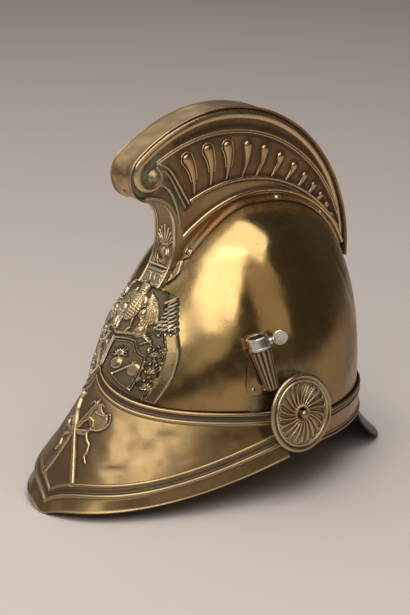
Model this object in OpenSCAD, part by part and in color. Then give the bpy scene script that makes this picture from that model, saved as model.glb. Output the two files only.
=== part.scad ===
// Antique brass firefighter helmet with crest, visor, neck guard and plume socket.
// Millimetres. +Z is up, the visor points to -Y and the plume socket is on the +X side.
// The origin lies on the floor below the middle of the whole length.

/* [Skull] */
// Half width of the skull at its lower edge
skull_half_w = 90; // [84:1:96]
// Reach of the front wall from the skull's axis
skull_front = 127; // [122:1:130]
// Reach of the rear wall from the skull's axis
skull_rear = 104; // [98:1:108]
// Height of the skull's crown above the floor
skull_top = 201; // [194:1:206]
// Height at which the dome starts to curve in
skull_base = 62; // [60:1:64]
// Height of the skull's lower edge
skull_bottom = 48; // [46:1:50]
// Reach of the soft keel that runs down the lower front
keel_h = 7.5; // [5:0.5:8]
// Thickness of the brass sheet
sheet = 1.2; // [0.8:0.1:1.5]
// Gap between sheets that lie on each other
seam_gap = 0.3; // [0.2:0.05:0.5]
// Gap under pieces that cross the skull's curve
curve_gap = 0.6; // [0.5:0.05:0.8]
// Gap under heads and nuts inside the skull
head_gap = 0.9; // [0.8:0.05:1]

/* [Visor] */
// Reach of the visor's tip from the skull's axis
visor_tip = 163.6; // [156:0.2:170]
// Half width of the visor's lower moulding at the rosettes
visor_half_w = 97.3; // [95:0.1:99]
// Height of the upper moulding at the sides
brow_z = 61.5; // [60:0.5:64]
// Rise of the upper moulding towards the front
brow_rise = 36; // [32:1:38]
// Height of the small point of the upper moulding
brow_point = 0.8; // [0:0.2:3]
// Height of the lower moulding at the tip
tip_z = 5.6; // [5:0.1:8]
// Rise of the lower moulding beside the tip
tip_rise = 9.5; // [8:0.5:11]
// Rise of the lower moulding towards the rosettes
side_rise = 32; // [28:1:34]
// Depth of the plain rim under the lower moulding
rim_drop = 8.5; // [7:0.1:9]
// Reach of the rim beyond the lower moulding
rim_reach = 3.4; // [2.5:0.1:5]
// Height of the mouldings over the sheet
bead_h = 1.8; // [1:0.1:2.2]

/* [Neck guard] */
// Height of the rear moulding
neck_top = 58; // [56:0.5:60]
// Height of the band's lower edge
neck_bottom = 36; // [32:0.5:38]
// Half angle that the flared flap spans
flap_angle = 43; // [36:1:48]
// Reach of the flap beyond the band
flap_reach = 26; // [20:1:32]

/* [Crest] */
// Radius of the crest's top strip
crest_r = 125; // [122:0.5:128]
// Height of the centre of the crest's arcs
crest_centre_z = 148; // [144:1:152]
// Width of the top strip
strip_w = 23.2; // [21:0.2:25]
// Radius of the curl at the front of the strip
curl_r = 18.5; // [16:0.5:20]
// Half width over the recessed side fields
field_half_w = 8.8; // [8:0.1:9.4]
// Width of the front column
column_w = 24; // [23:0.5:26]
// Radius of the thick roll at the front
roll_r = 4.6; // [3.8:0.1:5]
// Radius of the thick roll at the rear end
roll_end_r = 2; // [1.5:0.1:3]
// Number of teardrops on each side
drops = 12; // [8:1:14]
// Radius of the largest teardrop
drop_r = 3.4; // [2.5:0.1:4]
// Width of the flange that lies on the skull
flange_w = 8; // [6:0.5:10]
// Diameter of the small hole in the curl
curl_hole_d = 2.5; // [1.5:0.1:4]

/* [Front plate] */
// Height of the plate's upper end
plate_top = 147; // [140:1:148]
// Width of the ribbon at the plate's sides
ribbon_w = 8; // [6:0.5:9]

/* [Rosettes] */
// Radius of the rosette
rosette_r = 28.6; // [26:0.2:30]
// Height of the rosette's centre
rosette_z = 65.5; // [64:0.5:67]
// Place of the rosette in front of the skull's axis
rosette_y = 6.3; // [5.5:0.1:7]
// Flutes on each rosette
flutes = 22; // [16:1:24]
// Radius of the stud's shank
stud_r = 2.4; // [1.8:0.1:2.6]
// Radial clearance of a pin in its hole
pin_gap = 0.05; // [0.03:0.01:0.1]

/* [Plume socket] */
// Length of the tapering tube
socket_len = 40; // [36:1:42]
// Radius of the tube at its mouth
socket_top_r = 8.2; // [7.5:0.1:8.6]
// Radius of the tube at its foot
socket_foot_r = 4.7; // [4:0.1:5]
// Radius of the bore for the plume's stem
bore_r = 4.5; // [3.5:0.1:5]
// Depth of the bore
bore_len = 28; // [20:1:30]
// Radius of the thumb screw's disc
disc_r = 5.6; // [4.5:0.1:6]
// Radius of the thumb screw's shank
screw_r = 1.5; // [1.2:0.1:1.8]

/* [Liner] */
// Gap between the skull's wall and the sweatband
band_gap = 5; // [4.5:0.5:6]
// Thickness of the leather
leather = 2; // [1.5:0.1:2.5]
// Height of the sweatband's upper edge
band_top = 84; // [78:1:88]
// Number of leather tongues in the crown
tongues = 8; // [6:1:8]
// Radius of the opening left between the tongues' tips
lace_r = 22; // [18:1:26]
// Height of the lace ring
lace_z = 150; // [144:1:156]

/* [Hidden] */

brass = "#a8863f";
dark_brass = "#6f5226";
nickel = "#b9b4a6";
hide = "#5a3a22";

// The skull's plan sections are superellipses, a little more pointed at the front
side_power = 1.9;
front_power = 1.15;
keel_w = 11;
keel_low_z = 118;
keel_top_z = 155;
brow_fade = 43;
brow_tip_fade = 5;
front_round = 1.7;
rear_power = 3;
rear_round = 2.6;
axis_shift = 7.2;
axis_lean = 6.3;
front_plan = 1.42;
front_plan_gain = 0.58;
rear_plan = 1.9;
rear_reach_y = skull_rear + axis_shift + flap_reach;
tip_reach_y = visor_tip + rim_reach;
mid_y = (tip_reach_y - rear_reach_y) / 2;

// Small vector helpers
function clamp01(v) = max(0, min(1, v));
function mix(a, b, f) = a + (b - a) * f;
function unit(v) = v / norm(v);
function spow(v, p) = sign(v) * pow(abs(v), p);

// The skull as a function: g is the distance outside its outer surface
function rise(z, g) = clamp01((z - skull_base) / (skull_top + g - skull_base));
function half_width(z, g) =
    (skull_half_w + g) * pow(max(0, 1 - pow(rise(z, g), side_power)), 1 / side_power);
function front_reach(z, g) =
    (skull_front + g) * pow(max(0, 1 - pow(rise(z, g), front_power)), 1 / front_round);
function rear_reach(z, g) =
    (skull_rear + g) * pow(max(0, 1 - pow(rise(z, g), rear_power)), 1 / rear_round);
function keel(x, z) =
    keel_h * exp(-abs(x) / keel_w) * clamp01((keel_top_z - z) / (keel_top_z - keel_low_z));
function axis_y(z) = axis_shift + axis_lean * rise(z, 0);
function plan_power(y, z) = y < axis_y(z) ? front_plan + front_plan_gain * rise(z, 0) : rear_plan;
// Point at plan angle a: 0 is the left side, 90 the rear and -90 the front
function skull_pt(a, z, g = 0) =
    let (n = sin(a) < 0 ? front_plan + front_plan_gain * rise(z, 0) : rear_plan)
    let (reach = sin(a) < 0 ? front_reach(z, g) : rear_reach(z, g))
    let (x = half_width(z, g) * spow(cos(a), 2 / n))
    [x, axis_y(z) + reach * spow(sin(a), 2 / n) - (sin(a) < 0 ? keel(x, z) : 0), z];
// Point of the front wall at a given x
function front_pt(x, z, g = 0) =
    let (n = front_plan + front_plan_gain * rise(z, 0))
    let (q = min(1, pow(abs(x) / half_width(z, g), n)))
    [x, axis_y(z) - front_reach(z, g) * pow(1 - q, 1 / n) - keel(x, z), z];
// Where the side wall stands at a given y in front of the axis
function side_x(y, z, g) =
    let (n = front_plan + front_plan_gain * rise(z, 0))
    half_width(z, g) * pow(1 - pow((axis_y(z) - y) / front_reach(z, g), n), 1 / n);
// Below 1 inside the skull, above 1 outside
function skull_in(p, g) =
    p[2] >= skull_top + g ? 2 :
    let (n = plan_power(p[1], p[2]), mid = axis_y(p[2]))
    let (reach = p[1] < mid ? front_reach(p[2], g) : rear_reach(p[2], g))
    let (y = p[1] < mid ? min(mid, p[1] + keel(p[0], p[2])) : p[1])
    pow(abs(p[0]) / half_width(p[2], g), n) + pow(abs(y - mid) / reach, n);
// Distance from o along d to the surface, found by halving
function skull_hit(o, d, g, lo = 60, hi = 150, n = 14) =
    n == 0 ? (lo + hi) / 2 :
    skull_in(o + d * (lo + hi) / 2, g) < 1
        ? skull_hit(o, d, g, (lo + hi) / 2, hi, n - 1)
        : skull_hit(o, d, g, lo, (lo + hi) / 2, n - 1);
function skull_normal(a, z, g = 0) =
    unit(cross(skull_pt(a + 1, z, g) - skull_pt(a - 1, z, g), skull_pt(a, z + 1, g) - skull_pt(a, z - 1, g)));

// A thin sheet from two grids of points, each a list of rows. The inner grid may have fewer columns.
module sheet_solid(outer, inner, ring = false) {
    nr = len(outer);
    nc = len(outer[0]);
    ni = len(inner[0]);
    last = ring ? nr : nr - 1;
    half = nr * nc;
    function pick(c) = round(c * (ni - 1) / (nc - 1));
    pts = [for (grid = [outer, inner]) for (row = grid) for (p = row) p];
    faces = [
        for (r = [0:last - 1]) for (c = [0:nc - 2])
            let (a = r * nc + c, b = ((r + 1) % nr) * nc + c)
            each [[a, b, b + 1], [a, b + 1, a + 1]],
        for (r = [0:last - 1]) for (c = [0:ni - 2])
            let (a = half + r * ni + c, b = half + ((r + 1) % nr) * ni + c)
            each [[a, b + 1, b], [a, a + 1, b + 1]],
        for (r = [0:last - 1])
            let (s = (r + 1) % nr)
            each [[r * nc, half + r * ni, s * nc], [s * nc, half + r * ni, half + s * ni],
                  [r * nc + nc - 1, s * nc + nc - 1, half + r * ni + ni - 1],
                  [s * nc + nc - 1, half + s * ni + ni - 1, half + r * ni + ni - 1]],
        if (!ring) for (c = [0:nc - 2]) for (r = [0, nr - 1])
            let (a = r * nc + c, i = half + r * ni + pick(c), j = half + r * ni + pick(c + 1))
            each concat(
                [r == 0 ? [a, a + 1, i] : [a + 1, a, i]],
                i == j ? [] : [r == 0 ? [a + 1, j, i] : [j, a + 1, i]])
    ];
    polyhedron(pts, faces, convexity = 8);
}

// Puts a child's +Z along d at p
module along(p, d) {
    u = unit(d);
    translate(p) rotate([0, acos(u[2]), atan2(u[1], u[0])]) children();
}

// Extrudes a child's outline in the Y-Z plane from x0 to x1
module side_plate(x0, x1) {
    translate([x0, 0, 0]) rotate([90, 0, 90]) linear_extrude(x1 - x0) children();
}

// A round-topped bar between two balls
module ball_bar(p, q, rp, rq, fn = 8) {
    hull() {
        translate(p) sphere(rp, $fn = fn);
        translate(q) sphere(rq, $fn = fn);
    }
}

// A rivet head with its underside at the origin
module rivet_head(r, h) {
    cylinder(h = h, r1 = r, r2 = r * 0.6, $fn = 20);
}

module placed() { translate([0, mid_y, 0]) children(); }

// Skull
skull_cols = 40;
skull_rows = 12;
skull_inner_rows = 12;
function skull_row_z(k, n, g) =
    k == 0 ? skull_bottom :
    let (f = 1 - (k - 1) / (n - 1))
    mix(skull_base, skull_top + g, cos(90 * f));
module skull() {
    nr = skull_cols;
    sizes = [[0, skull_rows], [-sheet, skull_inner_rows]];
    half = nr * skull_rows;
    apex = half + nr * skull_inner_rows;
    pts = [
        for (s = sizes) for (r = [0:nr - 1]) for (k = [0:s[1] - 1])
            skull_pt(360 * r / nr, skull_row_z(k, s[1], s[0]), s[0]),
        [0, axis_y(skull_top), skull_top],
        [0, axis_y(skull_top), skull_top - sheet]
    ];
    faces = [
        for (r = [0:nr - 1]) for (layer = [0, 1])
            let (nc = sizes[layer][1], first = layer * half, flip = layer == 1)
            let (a = first + r * nc, b = first + ((r + 1) % nr) * nc)
            each [
                for (c = [0:nc - 2]) each flip
                    ? [[a + c, b + c, b + c + 1], [a + c, b + c + 1, a + c + 1]]
                    : [[a + c, b + c + 1, b + c], [a + c, a + c + 1, b + c + 1]],
                flip ? [a + nc - 1, b + nc - 1, apex + 1] : [a + nc - 1, apex, b + nc - 1]
            ],
        for (r = [0:nr - 1])
            let (s = (r + 1) % nr)
            let (a = r * skull_rows, b = s * skull_rows)
            let (i = half + r * skull_inner_rows, j = half + s * skull_inner_rows)
            each [[a, b, i], [b, j, i]]
    ];
    color(brass) placed() difference() {
        polyhedron(pts, faces, convexity = 6);
        for (side = [-1, 1])
            translate([side * skull_half_w, -rosette_y, rosette_z])
                rotate([0, 90, 0]) cylinder(h = 12, r = stud_r + pin_gap, center = true, $fn = 32);
    }
}

// Visor: stations run from one rosette over the front to the other
// The brow line's height over the plan's share, and the same over the true x
function brow_height(x) =
    brow_z + brow_rise * exp(-abs(x) / brow_fade) + brow_point * exp(-abs(x) / brow_tip_fade);
function brow_over(x) =
    brow_height(skull_half_w * pow(abs(x) / skull_half_w, front_plan / 2));
function brow_pt(f, g) =
    let (x = skull_half_w * abs(sin(f)))
    skull_pt(f - 90, brow_height(x), g);
function tip_pt(f) =
    let (s = abs(sin(f)))
    [visor_half_w * sin(f),
     -visor_tip + (visor_tip - 4) * (0.24 * s + 0.76 * pow(s, 3.4)),
     tip_z + tip_rise * (1 - exp(-s * 8)) + side_rise * pow(s, 4.5)];
function rim_pt(f) =
    let (s = abs(sin(f)))
    [(visor_half_w + rim_reach) * sin(f),
     -(visor_tip + rim_reach) + (visor_tip + rim_reach - 4) * (0.08 * s + 0.92 * pow(s, 2.6)),
     max(0, tip_pt(f)[2] - rim_drop)];
function visor_down(f) = unit(tip_pt(f) - brow_pt(f, seam_gap + sheet));
function visor_middle(f) = mix(brow_pt(f, 1), tip_pt(f), 0.5);
function visor_out(f) =
    unit(cross(visor_down(f), visor_middle(f + 1) - visor_middle(f - 1)));
// Point of the visor: d from the brow if it is positive, or above the lower moulding
function visor_pt(f, d, h) =
    (d >= 0 ? brow_pt(f, seam_gap + sheet) : tip_pt(f)) + visor_down(f) * (d >= 0 ? d : d + 1)
    + visor_out(f) * h;
// Point of the plain panel at the share v of its depth
function panel_pt(f, v, h) =
    mix(brow_pt(f, seam_gap + sheet), tip_pt(f), v) + visor_out(f) * h;
brow_profile = [[0, 0], [0.5, 0.7], [1.5, 1], [3, 0.85], [4, 0.1], [6, 0.1], [7, 0.7], [8.4, 0.8], [9.6, 0]];
tip_profile = [
    [-11.6, 0], [-10.6, 0.6], [-9.2, 0.65], [-8, 0.1], [-4.4, 0.1], [-3.2, 0.8], [-1.6, 1], [-0.4, 0.2]
];
visor_stations = 24;
function visor_f(k) =
    let (e = asin(pow((axis_shift + rosette_y + stud_r + 1) / skull_front, front_plan / 2)))
    mix(e - 89.5, 89.5 - e, k / visor_stations);
module visor() {
    outer = [for (k = [0:visor_stations]) let (f = visor_f(k)) [
        for (q = brow_profile) visor_pt(f, q[0], q[1] * bead_h),
        panel_pt(f, 0.55, 0),
        for (q = tip_profile) visor_pt(f, q[0], q[1] * bead_h),
        rim_pt(f)
    ]];
    inner = [for (k = [0:visor_stations]) let (f = visor_f(k)) [
        visor_pt(f, 0, -sheet),
        visor_pt(f, 6, -sheet),
        panel_pt(f, 0.55, -sheet),
        visor_pt(f, -8, -sheet),
        rim_pt(f) + [-sheet * sin(f), sheet * cos(f), 0.1]
    ]];
    color(brass) placed() sheet_solid(outer, inner);
}

// Neck guard: a band round the rear half with a moulding above and a bead below
neck_profile = [
    [1, 0], [0.97, 0.8], [0.92, 1], [0.86, 0.7], [0.82, 0.05], [0.77, 0.05], [0.73, 0.6], [0.69, 0.7],
    [0.65, 0.1], [0.3, 0.05], [0.12, 0.1], [0.09, 0.8], [0.04, 0.9], [0, 0.3]
];
neck_stations = 20;
neck_start = 4;
module neck_guard() {
    outer = [for (k = [0:neck_stations]) [for (q = neck_profile)
        skull_pt(mix(neck_start, 180 - neck_start, k / neck_stations),
                 mix(neck_bottom, neck_top, q[0]), seam_gap + sheet + q[1] * bead_h)]];
    inner = [for (k = [0:neck_stations]) [for (q = [1, 0.7, 0.35, 0])
        skull_pt(mix(neck_start, 180 - neck_start, k / neck_stations),
                 mix(neck_bottom, neck_top, q), seam_gap)]];
    color(dark_brass) placed() sheet_solid(outer, inner);
}

// Flared flap that hangs from the rear of the band and rests on the floor
flap_cols = 16;
flap_steps = [0, 0.25, 0.38, 0.52, 0.66, 0.82, 1];
function flap_fall(u) = pow(max(0, 1 - pow(abs(u), 5)), 0.5);
function flap_pt(u, v, g) =
    let (a = 90 + flap_angle * u)
    let (q = 0.08 + 0.92 * flap_fall(u))
    let (top = skull_bottom - seam_gap)
    let (w = clamp01((v - 0.25) / 0.75) * q)
    let (z = v < 0.25 ? mix(top, neck_bottom, v * 4) : max(0, neck_bottom * (1 - w)))
    let (p = skull_pt(a, z, g))
    [p[0] * (1 + 0.06 * w), p[1] + flap_reach * pow(w, 1.5), z];
module neck_flap() {
    outer = [for (k = [0:flap_cols]) [for (v = flap_steps) flap_pt(2 * k / flap_cols - 1, v, 0)]];
    inner = [for (k = [0:flap_cols]) [for (v = flap_steps) flap_pt(2 * k / flap_cols - 1, v, -sheet)]];
    color(dark_brass) placed() sheet_solid(outer, inner);
}

// Crest arcs: centres are [y, z] from the skull's axis
crest_centre = [-10, crest_centre_z];
curl_turn = 126.4;
crest_end = -4;
curl_end = 250;
curl_hole_a = 213;
curl_centre = crest_centre + (crest_r - curl_r) * [cos(curl_turn), sin(curl_turn)];
eye_centre = curl_centre + [4.4, -1.5];
fillet_drop = 18.7;
fillet_centre = crest_centre - [0, fillet_drop];
fillet_r = crest_r - 0.7;
step_shift = [17, -51.2];
step_centre = crest_centre + step_shift;
step_r = 119.8;
foot_shift = [29, -49];
foot_centre = crest_centre + foot_shift;
foot_r = 104;
function on_circle(c, r, a) = c + r * [cos(a), sin(a)];
// Line where the crest meets the skull at a given x, seen from the foot circle's centre
function foot_hit(x, b, g) =
    skull_hit([x, foot_centre[0], foot_centre[1]], [0, cos(b), sin(b)], g);
function foot_pt(x, b, g) =
    let (r = foot_hit(x, b, g))
    [x, foot_centre[0] + r * cos(b), foot_centre[1] + r * sin(b)];

// Front face of the column: an ellipse above, then a straight, then a curve along the brow
column_back = -52;
column_neck_z = 192;
column_low_z = 182;
column_bottom_z = 150;
curl_end_pt = on_circle(curl_centre, curl_r, curl_end + 2.5);
column_path = [
    for (t = [0:15:90])
        [mix(curl_end_pt[0], column_back, sin(t)), mix(column_neck_z, curl_end_pt[1], cos(t))],
    for (z = [column_low_z:-8:column_bottom_z])
        [column_back - 15.5 * pow((column_low_z - z) / (column_low_z - column_bottom_z), 2), z]
];
function path_normal(k) =
    let (p = column_path[max(0, k - 1)], q = column_path[min(len(column_path) - 1, k + 1)])
    unit([p[1] - q[1], q[0] - p[0]]);

// Top strip: one sheet that follows the ridge and curls over at the front
strip_step = 3.6;
curl_step = 8.4;
function strip_line(inset) = [
    for (a = [crest_end:strip_step:curl_turn - 1]) on_circle(crest_centre, crest_r - inset, a),
    for (a = [curl_turn:curl_step:curl_end]) on_circle(curl_centre, curl_r - inset, a)
];
module crest_top_strip() {
    low = strip_line(sheet);
    color(brass) placed() difference() {
        side_plate(-strip_w / 2, strip_w / 2)
            polygon(concat(strip_line(0), [for (k = [len(low) - 1:-1:0]) low[k]]));
        translate([0, curl_centre[0], curl_centre[1]])
            rotate([curl_hole_a - 90, 0, 0]) cylinder(h = curl_r + 2, r = curl_hole_d / 2, $fn = 32);
    }
}

// The thick roll follows the strip and winds into the eye at the front
roll_big = 16;
roll_curl = 12;
function roll_radius(f) = mix(roll_end_r, roll_r, min(1, f * 1.6));
roll_steps = [
    for (k = [0:roll_big])
        let (r = roll_radius(k / roll_big))
        let (a = mix(crest_end + 6, curl_turn, k / roll_big))
        [on_circle(crest_centre, crest_r - sheet - 0.2 - r, a), a, r],
    for (k = [1:roll_curl])
        let (f = k / roll_curl)
        let (a = mix(curl_turn, 430, f))
        let (r = mix(roll_r, 2.6, f))
        [on_circle(mix(curl_centre, eye_centre, f), mix(curl_r - sheet - 0.2 - roll_r, 6.2, f), a), a, r]
];
module crest_roll() {
    sides = 5;
    x = strip_w / 2 - roll_r - 0.1;
    n = len(roll_steps);
    pts = [for (s = roll_steps) for (j = [0:sides - 1])
        let (b = 360 * j / sides)
        let (q = s[0] + s[2] * cos(b) * [cos(s[1]), sin(s[1])])
        [x + s[2] * sin(b), q[0], q[1]]];
    faces = [
        for (r = [0:n - 2]) for (j = [0:sides - 1])
            let (a = r * sides + j, b = r * sides + (j + 1) % sides)
            each [[a, b, a + sides], [b, b + sides, a + sides]],
        [for (j = [sides - 1:-1:0]) j],
        [for (j = [0:sides - 1]) (n - 1) * sides + j]
    ];
    polyhedron(pts, faces, convexity = 6);
}

function drop_angle(i) = 107.3 - 7.6 * i + 0.14 * i * i;
function drop_top(i) = step_r + 5.2 + 26 * pow(max(0, 1 - i / 11.5), 1.3);

// Field of one side: a pressed sheet from the flange on the skull up to the strip
field_stations = 16;
function at_x(x, p) = [x, p[0], p[1]];
function field_row(s, out) =
    let (w = mix(0.8, 2, min(1, 3 * s)))
    let (foot = mix(27, 124, s), step = mix(33, 110.8, s), fillet = mix(14, 114.4, s))
    let (x = field_half_w, h = bead_h)
    let (low_r = max(foot_r, foot_hit(x, foot, curve_gap) + w / 2 + seam_gap))
    out ? [
        foot_pt(x + flange_w, mix(24, 131, s), curve_gap + sheet),
        foot_pt(x + flange_w / 2, mix(24, 129, s), curve_gap + sheet),
        foot_pt(x + 1, mix(24, 127, s), curve_gap + sheet),
        at_x(x, on_circle(foot_centre, low_r - w / 2, foot)),
        at_x(x + h, on_circle(foot_centre, low_r, foot)),
        at_x(x, on_circle(foot_centre, low_r + w, foot)),
        at_x(x, on_circle(step_centre, step_r - w, step)),
        at_x(x + h, on_circle(step_centre, step_r, step)),
        at_x(x, on_circle(step_centre, step_r + w, step)),
        at_x(x, on_circle(fillet_centre, fillet_r - w, fillet)),
        at_x(x + h, on_circle(fillet_centre, fillet_r, fillet)),
        at_x(x, on_circle(fillet_centre, fillet_r + w, fillet)),
        at_x(x, on_circle(crest_centre, crest_r - sheet - 0.3, mix(4, 122, s)))
    ] : [
        foot_pt(x + flange_w, mix(24, 131, s), curve_gap),
        foot_pt(x - sheet, mix(24, 127, s), curve_gap),
        at_x(x - sheet, on_circle(step_centre, step_r - w, step)),
        at_x(x - sheet, on_circle(fillet_centre, fillet_r - w, fillet)),
        at_x(x - sheet, on_circle(crest_centre, crest_r - sheet - 0.3, mix(4, 122, s)))
    ];
// Last row of the field, behind the column and inside the curl
field_front = [[-49, 173], [-48.5, 184], [-48, 196], [-57, 212], [-73, 219]];
function front_row(out) =
    let (x = field_half_w, q = field_front)
    out ? [
        for (d = [3, 2, 1]) foot_pt(x + d, 134, curve_gap + sheet),
        at_x(x, q[0]),
        for (f = [0.3, 0.7]) at_x(x, mix(q[0], q[1], f)),
        for (f = [0.2, 0.6, 1]) at_x(x, mix(q[1], q[2], f)),
        for (k = [2, 3], f = [0.5, 1]) at_x(x, mix(q[k], q[k + 1], f))
    ] : [
        foot_pt(x + 3, 134, curve_gap), foot_pt(x - sheet, 134, curve_gap), at_x(x - sheet, q[2]),
        at_x(x - sheet, q[3]), at_x(x - sheet, q[4])
    ];
module crest_field() {
    sheet_solid(
        [for (k = [0:field_stations]) field_row(k / field_stations, true), front_row(true)],
        [for (k = [0:field_stations]) field_row(k / field_stations, false), front_row(false)]);
}

module crest_side() {
    crest_field();
    crest_roll();
    // Disc inside the curl, and the eye of the scroll
    side_plate(field_half_w - sheet, field_half_w + 0.2)
        translate(curl_centre) circle(curl_r - sheet - 0.6, $fn = 24);
    translate([field_half_w + 0.6, eye_centre[0], eye_centre[1]]) sphere(4.2, $fn = 10);
    // Stile behind the column
    stile_top = on_circle(fillet_centre, fillet_r, 114.4);
    stile_mid = on_circle(step_centre, step_r, 110.8);
    stile = [
        stile_top, mix(stile_top, stile_mid, 0.5) + [1.5, 1], stile_mid,
        stile_mid + [-5, -10], on_circle(foot_centre, foot_r, 124)
    ];
    for (k = [0:3])
        ball_bar(at_x(field_half_w, stile[k]), at_x(field_half_w, stile[k + 1]), 1.5, 1.5, 4);
    // Teardrops, smaller towards the rear
    for (i = [0:drops - 1]) {
        a = drop_angle(i);
        r = 0.9 + (drop_r - 0.9) * (1 - i / drops);
        head = on_circle(step_centre, drop_top(i) - r, a);
        tail = on_circle(step_centre, step_r + 1.5, a + 1);
        ball_bar(at_x(field_half_w - 0.3, head), at_x(field_half_w, tail), r, 0.8, 4);
    }
}
module crest_left_side() { color(dark_brass) placed() crest_side(); }
module crest_right_side() { color(dark_brass) placed() mirror([1, 0, 0]) crest_side(); }

// Front column of the crest, a channel in front of the two sides
lobe_x = 13.2;
lobe_z = 159;
lobe_r = 3;
function column_depth(k, x) =
    let (p = column_path[k], n = path_normal(k), reach = 12)
    p[1] > column_neck_z ? 3 :
    let (start = [x, p[0] + n[0] * reach, p[1] + n[1] * reach])
    min(7, reach - skull_hit(start, [0, -n[0], -n[1]], curve_gap, 0, reach));
function column_pt(k, x, back) =
    let (p = column_path[k] + path_normal(k) * back)
    [x, p[0], p[1]];
module crest_front_column() {
    w = column_w / 2;
    rib = 2.4;
    outer = [for (k = [0:len(column_path) - 1]) [
        column_pt(k, w, column_depth(k, w)), column_pt(k, w, 0.4), column_pt(k, w - rib / 2, -1),
        column_pt(k, w - rib, 0.4), column_pt(k, 0, 0.4), column_pt(k, rib - w, 0.4),
        column_pt(k, rib / 2 - w, -1), column_pt(k, -w, 0.4), column_pt(k, -w, column_depth(k, w))
    ]];
    inner = [for (k = [0:len(column_path) - 1]) [
        column_pt(k, w - sheet, column_depth(k, w - sheet)), column_pt(k, w - sheet, 0.4 + sheet),
        column_pt(k, 0, 0.4 + sheet),
        column_pt(k, sheet - w, 0.4 + sheet), column_pt(k, sheet - w, column_depth(k, w - sheet))
    ]];
    color(brass) placed() union() {
        sheet_solid(outer, inner);
        // Flaming ball, the bar under it and the two small scrolls at the foot
        translate(column_pt(9, 0, 0.4)) sphere(3.4, $fn = 8);
        for (t = [-1:1])
            ball_bar(column_pt(9, t * 1.4, 0.4) + [0, 0, 3],
                     column_pt(7, t * 3, 0.4) - [0, 0, abs(t)], 1.2, 0.7, 4);
        ball_bar(column_pt(10, -w + 2, 0.4), column_pt(10, w - 2, 0.4), 1, 1, 4);
        for (side = [-1, 1])
            ball_bar(front_pt(side * lobe_x, lobe_z, lobe_r + curve_gap + seam_gap),
                     column_pt(11, side * (w - 4), 0.6), lobe_r, 2, 6);
    }
}

// Rivets through the crest's flange
rivet_angles = [126, 82, 50, 28];
module crest_rivets() {
    color(brass) placed() for (side = [-1, 1]) for (b = rivet_angles) {
        x = field_half_w + flange_w * 0.62;
        p = foot_pt(x, b, curve_gap + sheet + 0.2);
        d = unit(cross(foot_pt(x, b + 1, 0) - foot_pt(x, b - 1, 0),
                       foot_pt(x + 1, b, 0) - foot_pt(x - 1, b, 0)));
        along([side * p[0], p[1], p[2]], [side * d[0], d[1], d[2]] * (d[2] < 0 ? -1 : 1)) rivet_head(2.2, 1.2);
        q = foot_pt(x, b, -sheet - head_gap);
        along([side * q[0], q[1], q[2]], [side * d[0], d[1], d[2]] * (d[2] < 0 ? 1 : -1)) rivet_head(2.2, 1);
    }
}

// Front plate: a sheet on the skull's front with raised ornament
plate_half = [[80, 40], [92, 45], [106, 44], [114, 41], [122, 36], [132, 31], [140, 25], [147, 14]];
plate_foot_half = 39;
plate_lift = 2.5;
plate_gap = curve_gap + seam_gap;
plate_cols = 12;
plate_rows = 6;
function plate_foot(u) = brow_over(u * plate_foot_half) + plate_lift;
function plate_pt(u, v, g) =
    let (z = mix(plate_foot(u), plate_top - 6 * abs(u), v))
    front_pt(u * lookup(z, plate_half), z, g);
function plate_at(x, z, g) = front_pt(x, z, plate_gap + sheet + g);
module plate_lump(x0, z0, r0, x1, z1, r1, fn = 4) {
    ball_bar(plate_at(x0, z0, r0 - 1), plate_at(x1, z1, r1 - 1), r0, r1, fn);
}
module front_plate() {
    outer = [for (k = [0:plate_cols]) [for (j = [0:plate_rows])
        plate_pt(1 - 2 * k / plate_cols, j / plate_rows, plate_gap + sheet)]];
    inner = [for (k = [0:plate_cols]) [for (j = [0:plate_rows])
        plate_pt(1 - 2 * k / plate_cols, j / plate_rows, plate_gap)]];
    color(brass) placed() union() {
        sheet_solid(outer, inner);
        // Eagle: body, head and two raised wings
        plate_lump(0, 128, 4, 0, 138, 3, 6);
        plate_lump(0, 138, 2.6, 1, 143, 2, 5);
        for (s = [-1, 1]) {
            for (t = [0:2])
                plate_lump(s * 4, 134 - 3 * t, 1.8, s * (22 - t * 4), 140 - 9 * t, 1.2);
            // Two shields that lean against each other
            plate_lump(s * 3, 117, 1.2, s * 21, 111, 1.2);
            plate_lump(s * 21, 111, 1.2, s * 21, 97, 1.2);
            plate_lump(s * 3, 117, 1.2, s * 3, 103, 1.2);
            // Leaves between shield and ribbon
            for (t = [0:1])
                plate_lump(s * 27, 96 + 11 * t, 1.5, s * (31 - 2 * t), 104 + 10 * t, 0.8);
            // Raised edges of the ribbon along the side
            for (inset = [ribbon_w, 1.5], t = [0:1]) {
                z0 = 88 + t * 14;
                plate_lump(s * (lookup(z0, plate_half) - inset), z0, 1,
                           s * (lookup(z0 + 14, plate_half) - inset), z0 + 14, 1);
            }
        }
    }
}
module front_plate_pins() {
    color(brass) placed() for (a = [-72, -108], z = [100, 130]) shell_rivet(a, z);
}

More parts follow.
